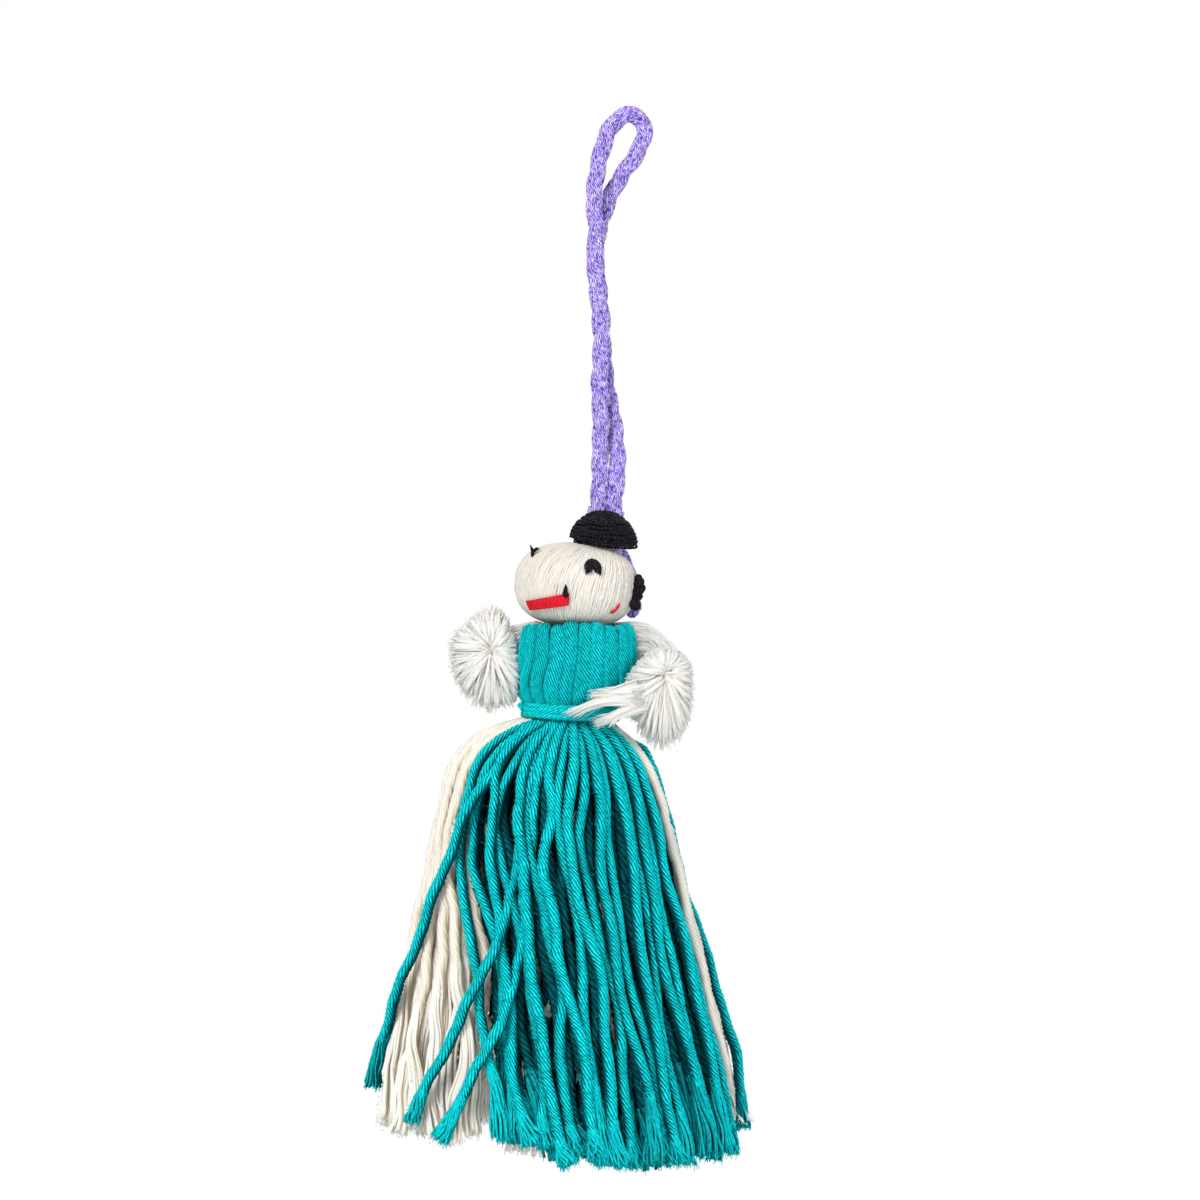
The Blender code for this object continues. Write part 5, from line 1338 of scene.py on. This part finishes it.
@dataclass
class Face:
    """Satin-stitched eyes, nose, mouth and cheek, and the black tuft at the side."""

    head: Head
    thread_radius: float = 0.2 * MM
    stand_off: float = 0.42 * MM
    stitch_points: int = 12
    mouth_points: int = 26
    bow: float = 0.12

    def satin(self, name: str, spot: tuple, ends: Sequence, finish: ThreadFinish, seed: int,
              radius: float = 0.2, over: float = 0.0) -> None:
        """Stitch a patch of threads that lie side by side.

        Args:
            name: The piece's name, which is also its CAD node's.
            spot: The patch's angle round the head and above its middle, in degrees.
            ends: Each stitch's start and end, right of the spot and up from it, in millimetres.
            finish: The floss.
            seed: The seed of what varies.
            radius: The threads' radius, in millimetres.
            over: How far they all stand off over another stitch, in millimetres.
        """
        turn, lift = spot
        here, right, up = (self.head.on(turn + x, lift + z, 0.0) for x, z in ((0, 0), (1.0, 0), (0, 1.0)))
        one_turn, one_lift = np.linalg.norm(right - here), np.linalg.norm(up - here)
        rng = np.random.default_rng(seed)
        q = np.linspace(0, 1, self.stitch_points)
        lines, sizes = [], []
        for (x0, z0), (x1, z1) in ends:
            off = self.stand_off + (over + self.bow * np.sin(math.pi * q) - 0.32 * np.abs(2 * q - 1) ** 6
                                    + rng.uniform(-0.04, 0.08)) * MM
            lines.append(self.head.on(turn + (x0 + (x1 - x0) * q) * MM / one_turn,
                                      lift + (z0 + (z1 - z0) * q) * MM / one_lift, off))
            sizes.append(np.full(self.stitch_points, radius * MM * rng.uniform(0.92, 1.1)))
        piece = Piece(name, "head", finish)
        piece.add(floss(lines, sizes, seed))
        piece.place()

    def build(self) -> None:
        """Build every stitched mark and knot on the head."""
        fan = [(math.cos(a), math.sin(a)) for a in np.radians(np.linspace(-28, 208, 25))]
        self.satin("eye_right", (16.5, 24.5),
                   [((0.42 * c, -0.85 + 0.4 * max(-0.3, s)),
                     (1.62 * c * (1.0 if s > 0 else 0.98), -0.15 + (1.75 if s > 0 else 2.9) * s))
                    for c, s in fan], BLACK_FLOSS, 81, 0.21)
        self._raised_eye()
        self.satin("nose_stitch", (-9.0, -8.6),
                   [((0.28 * r + 0.15, 1.15 - 0.9 * abs(r)), (1.0 * r + 0.25, -1.1 + 0.8 * abs(r)))
                    for r in np.linspace(-0.45, 0.45, 5)], BLACK_FLOSS, 83, over=0.45)
        self._mouth()
        self.satin("cheek_stitch", (46.5, -27.0),
                   [((-0.5 + r * 0.3, -0.75 + r), (0.35 + r * 0.3, 0.7 + r)) for r in np.linspace(-0.3, 0.3, 3)],
                   RED_FLOSS, 85)
        rng = np.random.default_rng(86)
        tuft = Piece("side_tuft", "head", BLACK_FLOSS)
        for turn, lift, size in ((78.0, 13.0, 0.85), (84.0, 9.0, 0.95), (74.0, 5.5, 1.1), (82.0, 1.0, 1.15),
                                 (72.0, -3.0, 1.15), (80.0, -8.0, 0.95), (72.0, -12.0, 0.9)):
            knot(tuft, self.head.on(turn, lift, 0.25 * MM + size * 0.6 * MM), size, rng)
        tuft.place()
        under = Piece("side_knot", "head", BLACK_FLOSS)
        knot(under, self.head.on(71.0, -18.0, 1.2 * MM), 1.25, rng, 12)
        under.place()

    def _raised_eye(self) -> None:
        """Stand two short thread ends up from the left eye's stitch, as a small v."""
        root = self.head.on(-58.0, 36.0, 0.25 * MM)
        ends = in_metres([(-0.5, -0.4, 1.7), (-0.3, -0.3, 1.5), (1.0, -0.6, 1.4), (1.4, -0.6, 1.2),
                          (0.2, -0.2, -0.6)])
        lines = [spline(np.stack([root, root + end * [0.2, 1.0, 0.5], root + end]), self.stitch_points)
                 for end in ends]
        sizes = np.interp(np.linspace(0, 1, self.stitch_points), [0, 0.6, 1], [0.36, 0.32, 0.14]) * MM
        piece = Piece("eye_left", "head", BLACK_FLOSS)
        piece.add(floss(lines, [sizes] * len(lines), 82))
        piece.place()

    def _mouth(self) -> None:
        """Stitch the mouth: threads side by side along a bar that follows the head."""
        knots = np.linspace(0, 1, 5)
        q = np.linspace(0, 1, self.mouth_points)
        turn = np.interp(q, knots, [-55.0, -40.0, -26.5, -15.5, -5.0])
        middle = np.interp(q, knots, [-30.3, -27.6, -24.6, -21.4, -18.6])
        taper = np.interp(q, [0, 1], [0.75, 1.0])
        one_millimetre = 8.6 * math.pi / 180
        rng = np.random.default_rng(84)
        lines, sizes = [], []
        for row in np.linspace(-1.0, 1.0, 10):
            lift = middle + row * taper / one_millimetre
            drop = 0.3 * np.abs(2 * q - 1) ** 8
            off = self.stand_off + (0.1 * math.cos(row) - drop + rng.uniform(-0.03, 0.06)) * MM
            lines.append(self.head.on(turn, lift, off))
            sizes.append(np.full(self.mouth_points, self.thread_radius * rng.uniform(0.9, 1.1)))
        piece = Piece("mouth_stitch", "head", RED_FLOSS)
        piece.add(floss(lines, sizes, 84))
        piece.place()


# Torso


@dataclass
class Torso:
    """The bodice of folded teal yarns, the cream yarns inside it, the neck tie and the belt."""

    x: float = -2.675 * MM
    y: float = -3.5 * MM
    top: float = -100.8 * MM
    height: float = 15.2 * MM
    size: tuple = (24.2 * MM, 17.2 * MM)
    waist_size: tuple = (20.8 * MM, 15.2 * MM)
    arm_slot: float = 4.6 * MM
    tilt: float = 0.055
    slope: float = 1.0 * MM
    yarns: int = 10
    yarn_radius: float = 2.0 * MM
    line_points: int = 60
    belt: tuple = (-3.375, -3.5, -117.92)
    neck: tuple = (-3.375, -3.5, -103.3)

    def __post_init__(self) -> None:
        """Choose the yarn, which is twisted less than the skirt's."""
        self.yarn = PliedYarn(30, 15, 0.24, 13.0 * MM, ring_step=0.7 * MM, hairs=30, axis=(self.x, self.y),
                              flank=0.3)

    def on(self, share: float, half: Half, down: Array, inset: Array) -> Array:
        """Find points on half the bodice.

        Args:
            share: The share of the way round the half.
            half: Which half.
            down: Shares of the height, from the top.
            inset: Distances inwards.

        Returns:
            The points.
        """
        ease = np.clip((down - 0.25) / 0.75, 0, None) ** 1.6
        half_width, half_depth = ((size + (waist - size) * ease) / 2 - inset
                                  for size, waist in zip(self.size, self.waist_size))
        edge = np.arcsin(self.arm_slot * np.clip((0.8 - down) / 0.35, 0.1, 1) / 2 / half_depth)
        angle = half.value * (edge + (math.pi - 2 * edge) * share)
        raised = (0.3 * MM + self.tilt * half_width * (1 + np.cos(angle))) * np.clip(1 - 1.6 * down, 0, 1)
        slope = self.slope * np.clip(1 - down / 0.4, 0, 1) ** 1.5 * (1 + np.cos(angle)) / 2
        return np.stack([self.x - 0.7 * MM * ease - slope + half_width * np.cos(angle),
                         self.y + half_depth * np.sin(angle), self.top - self.height * down + raised], axis=-1)

    def bodice(self, name: str, half: Half, seed: int) -> None:
        """Build half the bodice: hoops of yarn folded over at the shoulder.

        Args:
            name: The piece's name, which is also its CAD node's.
            half: Which half.
            seed: The seed of what varies.
        """
        rng = np.random.default_rng(seed)
        paths, facings = [], []
        # From inside the chest over the fold and down the outside to the belt
        heights = np.array([0.8, 0.4, 0.16, 0.07, 0.055, 0.09, 0.2, 0.45, 0.75, 0.92, 1.01, 1.06])
        inset = in_metres([2.3, 2.3, 2.2, 1.8, 1.1, 0.5, 0.3, 0.1, 0.2, 0.6, 1.4, 2.3])
        for k in range(self.yarns):
            down = heights + rng.uniform(-0.03, 0.03) * np.clip(1.4 - heights, 0, 1)
            lean = (k + 0.5) / self.yarns + 0.012 * np.sin(np.linspace(0, 3, len(down)) + rng.uniform(0, 6))
            drawn = spline(np.stack([self.on(s, half, d, i) for s, d, i in zip(lean, down, inset)]),
                           self.line_points)
            outward = drawn - np.array([self.x, self.y, 0])
            outward[:, 2] = 0
            normal = unit(outward)
            bend = np.clip((drawn[:, 2] - (self.top - 2.4 * MM)) / (2.0 * MM), 0, 1)[:, None]
            inner = np.arange(self.line_points) < np.argmax(drawn[:, 2])
            facing = normal * np.where(inner, -1.0, 1.0)[:, None]
            paths.append(drawn)
            facings.append(unit(facing * (1 - bend) + np.array([0, 0, 1.0]) * bend + normal * 1e-3))
        rings = max(6, int(round(max(arc_lengths(p)[-1] for p in paths) / self.yarn.ring_step)))
        faced = [unit(read_at(arc_lengths(resample(path, rings)), arc_lengths(path), facing))
                 for path, facing in zip(paths, facings)]
        piece = Piece(name, "torso", TEAL_COTTON)
        self.yarn.lay(piece, paths, np.full(self.yarns, self.yarn_radius), seed, frayed=False, flatness=0.5,
                      facing=np.stack(faced), taper=(0.8, 0.8, 0.8, 0.8, 0.72, 0.88, 1, 1, 1, 0.98, 0.92))
        piece.place()

    def build(self) -> None:
        """Build the torso."""
        self.bodice("bodice_front", Half.FRONT, 91)
        self.bodice("bodice_back", Half.BACK, 92)
        self._trunk()
        wind("neck_tie", "neck", in_metres(self.neck), (2.85, 2.85), 3, 0.7, 0.32, CREAM_COTTON, 93)
        wind("waist_tie", "torso", in_metres(self.belt), (9.6, 6.95), 3, 0.88, 0.68, TEAL_COTTON, 94,
             flatness=0.5)
        tied = Piece("waist_knot", "torso", TEAL_COTTON)
        at = in_metres(self.belt) + in_metres((-9.9, -1.8, 0.6))
        knot(tied, at, 0.75, np.random.default_rng(95), thread=0.26)
        ends = [spline(at + in_metres([(0, 0, 0), (-0.2, -0.5, 0.3 * k), (0.1, -0.9, 0.7 * k)]), 12)
                for k in (-1, 1)]
        tied.add(Threads(np.stack(ends), np.full((2, 12), 0.24 * MM), 6, 99))
        tied.place()

    def _trunk(self) -> None:
        """Build the cream yarns inside the bodice and the hank that joins the arms."""
        neck = in_metres(self.neck)
        paths = []
        for ring, count in ((1.0, 16), (0.6, 9)):
            for k in range(count):
                a = TURN * (k + 0.5) / count
                top = np.array([3.7 * ring * math.cos(a), 3.7 * ring * math.sin(a), 0.0])
                low = np.array([6.5 * ring * math.cos(a), 3.9 * ring * math.sin(a), 0.0])
                points = [top * 0.8, top, top * 0.9 + low * 0.1, low, low, low * 0.9]
                levels = [-0.6, -1.4, -5.4, -8.2, -9.6, -10.4]
                paths.append(spline(np.array([neck + (p + [0, 0, z]) * MM for p, z in zip(points, levels)]), 30))
        trunk = Piece("trunk_yarn", "torso", CREAM_COTTON)
        self.yarn.lay(trunk, paths, np.full(len(paths), 0.95 * MM), 97, frayed=False)
        trunk.place()
        low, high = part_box("arm_hank")
        lines = []
        for k in range(7):
            a = TURN * k / 6
            off = np.array([0, math.cos(a), math.sin(a)]) * (0.9 if k < 6 else 0.0) * MM
            start, end = (np.array([x, neck[1], neck[2] - 4.9 * MM]) + off for x in (low[0], high[0]))
            lines.append(spline(np.array([start, (start + end) / 2 - np.array([0, 0, 0.3 * MM]), end]), 20))
        hank = Piece("arm_hank", "torso", CREAM_COTTON)
        self.yarn.lay(hank, lines, np.full(7, 0.62 * MM), 98, frayed=False)
        hank.place()


# Arms


@dataclass
class Arm:
    """One arm: a bundle of brushed yarn from the shoulder, tied at the wrist, and its loose hand.

    Lengths are in millimetres, and the offsets are from the shoulder. The hand's outline is a distance
    from its heart at each angle, and each layer of threads has a count, a radius and a number of sides.
    """

    side: str
    seed: int
    shoulder: tuple
    shoulder_height: float
    wrist_offset: tuple
    bend_offset: tuple
    heart_offset: tuple
    depth: float
    outline: tuple
    wrist_radius: float = 1.0
    wrist_depth: float = 1.0
    bend_share: float = 0.66
    combed: tuple = ()
    layers: tuple = ((640, 0.4, 6), (600, 0.2, 4), (420, 0.06, 3))
    bundle: tuple = ((90, 0.6, 8), (140, 0.22, 4), (200, 0.06, 3))
    comb: tuple = ((20, 0.4, 6), (60, 0.15, 4), (40, 0.05, 3))
    top_share: float = 0.76

    def __post_init__(self) -> None:
        """Find the wrist, the bend and the place that the hand's threads fan from."""
        self.shoulder_at = in_metres(self.shoulder)
        self.wrist_at, self.bend_at, self.heart_at = (
            self.shoulder_at + in_metres(offset)
            for offset in (self.wrist_offset, self.bend_offset, self.heart_offset))
        self.outward = unit(self.wrist_at - self.bend_at)
        self.body = f"{self.side}_arm"

    def build(self) -> None:
        """Build the arm, its tie and its hand."""
        self._bundle()
        wind(f"{self.side}_wrist_tie", self.body, self.wrist_at + self.outward * 1.1 * MM, (1.4, 1.4), 4, 0.42,
             0.22, CREAM_COTTON, self.seed + 5, tuple(self.outward))
        self._hand()

    def _bundle(self) -> None:
        """Lay the arm's yarns from the shoulder to the wrist."""
        rng = np.random.default_rng(self.seed)
        out = np.sign(self.wrist_offset[0])
        half = self.shoulder_height / 2
        side = unit(np.cross(self.outward, [0.0, 1.0, 0.0]))
        side = side * np.sign(side[2])
        share = np.linspace(0, 1, 16)
        piece = Piece(f"{self.side}_arm_yarn", self.body, BRUSHED_COTTON)
        for number, (count, radius, sides) in enumerate(self.bundle):
            reach = 1.0 - 0.3 * radius + 0.06 * number
            lines = []
            for _ in range(count):
                r, a = math.sqrt(rng.uniform(0.6 if number else 0.02, 1)) * reach, rng.uniform(0, TURN)
                y, z = r * math.cos(a), min(r * math.sin(a), self.top_share)
                inside = -out * half * math.sqrt(max(0.05, 1 - z * z)) * 0.8
                across = side * z * self.wrist_radius
                lines.append(spline(np.array(
                    [self.shoulder_at + np.array([inside, 1.8 * y, half * z * 0.9]) * MM,
                     self.shoulder_at + np.array([0, 2.2 * y, half * z]) * MM,
                     self.bend_at + np.array([0, 2.2 * y, half * self.bend_share * z]) * MM,
                     self.wrist_at + (across + np.array([0, y * self.wrist_depth, 0])) * MM,
                     self.heart_at + (across * 0.6 + np.array([0, y, 0])) * MM]), 16))
            wobble = np.stack([waves(rng, count, share[None, :], 1.8) for _ in range(3)], axis=-1)
            sizes = radius * np.interp(share, [0, 0.4, 0.8, 1], [1.0, 1.0, 0.75, 0.6]) * MM
            piece.add(Threads(np.stack(lines) + wobble * (0.2 + 0.06 * number) * MM,
                              sizes * rng.uniform(0.7, 1.2, (count, 1)), sides, self.seed + 10 + number))
        piece.place()

    def _curves(self, starts: Array, middles: Array, ends: Array, curl: float, rng: Rng) -> Array:
        """Bend threads from their starts past their middles to their ends.

        Args:
            starts: Where they start.
            middles: The points that pull them.
            ends: Where they end.
            curl: How far they wander, in millimetres.
            rng: The source of random values.

        Returns:
            The threads' centrelines.
        """
        t = np.linspace(0, 1, 10)[None, :, None]
        line = (1 - t) ** 2 * starts[:, None] + 2 * t * (1 - t) * middles[:, None] + t ** 2 * ends[:, None]
        count = len(starts)
        away = unit(np.cross(unit(ends - starts), unit(rng.normal(size=(count, 3)))))
        wave = np.sin(math.pi * t * rng.uniform(0.8, 2.4, (count, 1, 1)) + rng.uniform(0, 6, (count, 1, 1)))
        return line + away[:, None] * wave * t * curl * MM

    def _fill(self, piece: Piece, line: Array, radius: float, sides: int, seed: int, shape: tuple,
              rng: Rng) -> None:
        """Add threads of one layer, thick and thin as their shape says at shares of their length."""
        share = np.interp(np.linspace(0, 1, 10), *shape)
        piece.add(Threads(line, radius * MM * share * rng.uniform(0.7, 1.2, (len(line), 1)), sides, seed))

    def _hand(self) -> None:
        """Fan brushed-out locks, wisps and single fibres from the heart of the hand to its edge."""
        rng = np.random.default_rng(self.seed + 2)
        degrees, reaches = np.array(self.outline, float).T
        deep = np.array([0.0, 1.0, 0.0])
        shape = ([0, 0.3, 0.7, 0.9, 1], [0.5, 0.8, 1.1, 0.95, 0.5])
        piece = Piece(f"{self.side}_hand_tuft", self.body, BRUSHED_COTTON)
        for number, (count, radius, sides) in enumerate(self.layers):
            turn = 360 * (np.arange(count) + rng.uniform(0, 1, count)) / count
            depth = rng.uniform(-1, 1, count)
            depth = np.sign(depth) * np.abs(depth) ** 0.75
            length = np.interp(turn, degrees, reaches, period=360) * MM
            length = length * rng.uniform(0.8, 0.99 + 0.03 * number, count) * (1 - 0.1 * depth ** 2)
            ring = rng.uniform(0, TURN, count)
            flat, round_heart = (np.stack([np.cos(angle), 0 * angle, np.sin(angle)], axis=1)
                                 for angle in (np.radians(turn), ring))
            scatter = round_heart * (rng.uniform(0, 1, count) * 1.2 * MM)[:, None]
            start, middle, end = (deep * (depth * share * self.depth * MM)[:, None] for share in (0.34, 1.3, 0.35))
            line = self._curves(self.heart_at + scatter + start, self.heart_at + flat * (length * 0.4)[:, None] + middle,
                                self.heart_at + flat * length[:, None] + end, 0.45 + 0.15 * number, rng)
            self._fill(piece, line, radius, sides, self.seed + 20 + number, shape, rng)
        for band in self.combed:
            self._comb(piece, in_metres(band), rng)
        piece.place()

    def _comb(self, piece: Piece, band: Array, rng: Rng) -> None:
        """Comb a flat band of threads out of the hand.

        Args:
            piece: The hand.
            band: The start, the bend and the tip of the band's middle.
            rng: The source of random values.
        """
        shape = ([0, 0.3, 0.7, 1], [1.0, 1.0, 0.7, 0.2])
        for number, (count, radius, sides) in enumerate(self.comb):
            spots = band[:, None] + rng.normal(0, 1, (3, count, 3)) * np.array([0.9, 0.3, 0.42]) * MM
            spots[0, :, 2] += (spots[1, :, 2] - band[1, 2]) * 1.5
            self._fill(piece, self._curves(*spots, 0.3, rng), radius, sides, self.seed + 40 + number, shape, rng)


# Studio


@dataclass
class Studio:
    """The camera at the photograph's angle, soft lamps, a white surround and a pale floor."""

    target: tuple = (0.00099, 0.0, -0.09535)
    roll: float = math.radians(3.84)
    distance: float = 0.72
    view_width: float = 0.24
    sensor: float = 36.0
    floor_height: float = -0.30
    floor_radius: float = 0.45
    lamps: tuple = (("key_lamp", (-0.48, -0.87, 0.45), 11.0, 0.45), ("fill_lamp", (0.75, -0.75, 0.0), 4.2, 0.6),
                    ("rim_lamp", (0.25, 0.7, 0.5), 3.5, 0.5))

    def camera(self) -> None:
        """Place the camera, level with the doll and turned as the photograph is."""
        data = bpy.data.cameras.new("camera")
        data.sensor_width = self.sensor
        data.lens = self.sensor * self.distance / self.view_width
        data.clip_start, data.clip_end = 0.05, 20.0
        right = Vector((math.cos(self.roll), 0, math.sin(self.roll)))
        up = Vector((-math.sin(self.roll), 0, math.cos(self.roll)))
        back = Vector((0, -1, 0))
        made = bpy.data.objects.new("camera", data)
        matrix = Matrix((right, up, back)).transposed().to_4x4()
        matrix.translation = Vector(self.target) + back * self.distance
        made.matrix_world = matrix
        bpy.context.scene.collection.objects.link(made)
        bpy.context.scene.camera = made

    def lamp(self, name: str, spot: tuple, power: float, size: float) -> None:
        """Add a soft square lamp that points at the doll.

        Args:
            name: The lamp's name.
            spot: Where it is.
            power: Its power in watts.
            size: Its width.
        """
        data = bpy.data.lights.new(name, "AREA")
        data.energy, data.size, data.shape = power, size, "SQUARE"
        made = bpy.data.objects.new(name, data)
        made.location = spot
        made.rotation_euler = (Vector(self.target) - Vector(spot)).to_track_quat("-Z", "Y").to_euler()
        bpy.context.scene.collection.objects.link(made)

    def floor(self) -> None:
        """Lay the floor under the hanging doll."""
        deselect()
        bpy.ops.mesh.primitive_circle_add(vertices=96, radius=self.floor_radius, fill_type="NGON",
                                          location=(self.target[0], 0, self.floor_height))
        made = bpy.context.object
        made.name = "floor"
        bpy.ops.object.transform_apply(location=True, rotation=False, scale=False)
        # Matt white card, as a photographer's table has
        card = bpy.data.materials.new("matt_white_card")
        card.use_nodes = True
        shader = card.node_tree.nodes["Principled BSDF"]
        shader.inputs["Base Color"].default_value = linear_colour("F4F4F2")
        shader.inputs["Roughness"].default_value = 0.9
        made.data.materials.append(card)

    def surround(self) -> None:
        """Make the world white to look at and a soft light for the doll."""
        world = bpy.data.worlds.new("studio")
        world.use_nodes = True
        tree = world.node_tree
        tree.nodes.clear()
        rays = tree.nodes.new("ShaderNodeLightPath").outputs
        seen = add_node(tree, "Math", {".operation": "MAXIMUM", 0: rays["Is Glossy Ray"],
                                       1: rays["Is Transmission Ray"]}, "Value")
        seen = add_node(tree, "Math", {".operation": "MAXIMUM", 0: rays["Is Camera Ray"], 1: seen}, "Value")
        light, white = (add_node(tree, "Background", {"Color": linear_colour(code), "Strength": strength},
                                 "Background") for code, strength in (("F4F6FA", 0.48), ("FFFFFF", 1.0)))
        mixed = add_node(tree, "MixShader", {0: seen, 1: light, 2: white}, "Shader")
        tree.links.new(mixed, tree.nodes.new("ShaderNodeOutputWorld").inputs["Surface"])
        bpy.context.scene.world = world

    def build(self) -> None:
        """Build the studio."""
        self.camera()
        for lamp in self.lamps:
            self.lamp(*lamp)
        self.floor()
        self.surround()
        bpy.context.scene.view_settings.view_transform = "Standard"


LEFT_ARM = Arm("left", 201, (-12.275, -3.5, -104.7), 9.6, (-6.9, 0.0, -1.9), (-5.52, 0.0, -0.95),
               (-7.5, -1.8, -1.9), 5.2,
               ((90, 9.4), (110, 8.6), (135, 8.2), (152, 8.3), (171, 9.3), (192, 9.0), (213, 9.4), (235, 10.6),
                (251, 11.8), (269, 13.0), (285, 12.6), (297, 11.9), (315, 9.4), (340, 6.4), (360, 5.6),
                (385, 5.6), (415, 6.2)))
RIGHT_ARM = Arm("right", 301, (6.825, -3.5, -103.0), 8.6, (7.4, -3.8, -3.6), (4.6, -0.6, -0.1),
                (7.9, -6.4, -5.8), 4.8,
                ((18, 5.7), (49, 5.5), (85, 5.2), (131, 5.4), (168, 6.0), (187, 7.6), (203, 9.1), (218, 11.0),
                 (235, 11.9), (250, 13.5), (272, 16.0), (292, 13.0), (310, 9.4), (329, 7.0), (351, 5.9)),
                4.3, 2.6, 0.85,
                (((9.5, -13.4, -112.4), (5.2, -14.0, -112.8), (1.3, -12.6, -114.3)),
                 ((9.5, -13.6, -114.0), (2.6, -14.2, -114.4), (-2.8, -12.2, -118.0)),
                 ((10.0, -13.2, -115.6), (6.0, -13.8, -117.4), (2.4, -12.2, -119.6))))
CORD_FOOT = (0.975, 0.0, -75.2)
CORD_HALF_GAP = 1.925 * MM


def main() -> None:
    """Build the doll's looks and the studio."""
    logging.basicConfig(level=logging.INFO, format="%(message)s")
    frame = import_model()
    LOG.info("frame: %d bodies, %d nodes", len(frame["bodies"]), len(frame["nodes"]))
    head = Head()
    bun = Bun(head)
    cord = HangingCord()
    Studio().build()
    cord.build(head.tails(CORD_FOOT, CORD_HALF_GAP, bun, cord.diameter))
    for part in (Skirt(), head, bun, Face(head), Torso(), LEFT_ARM, RIGHT_ARM):
        part.build()


if __name__ == "__main__":
    main()
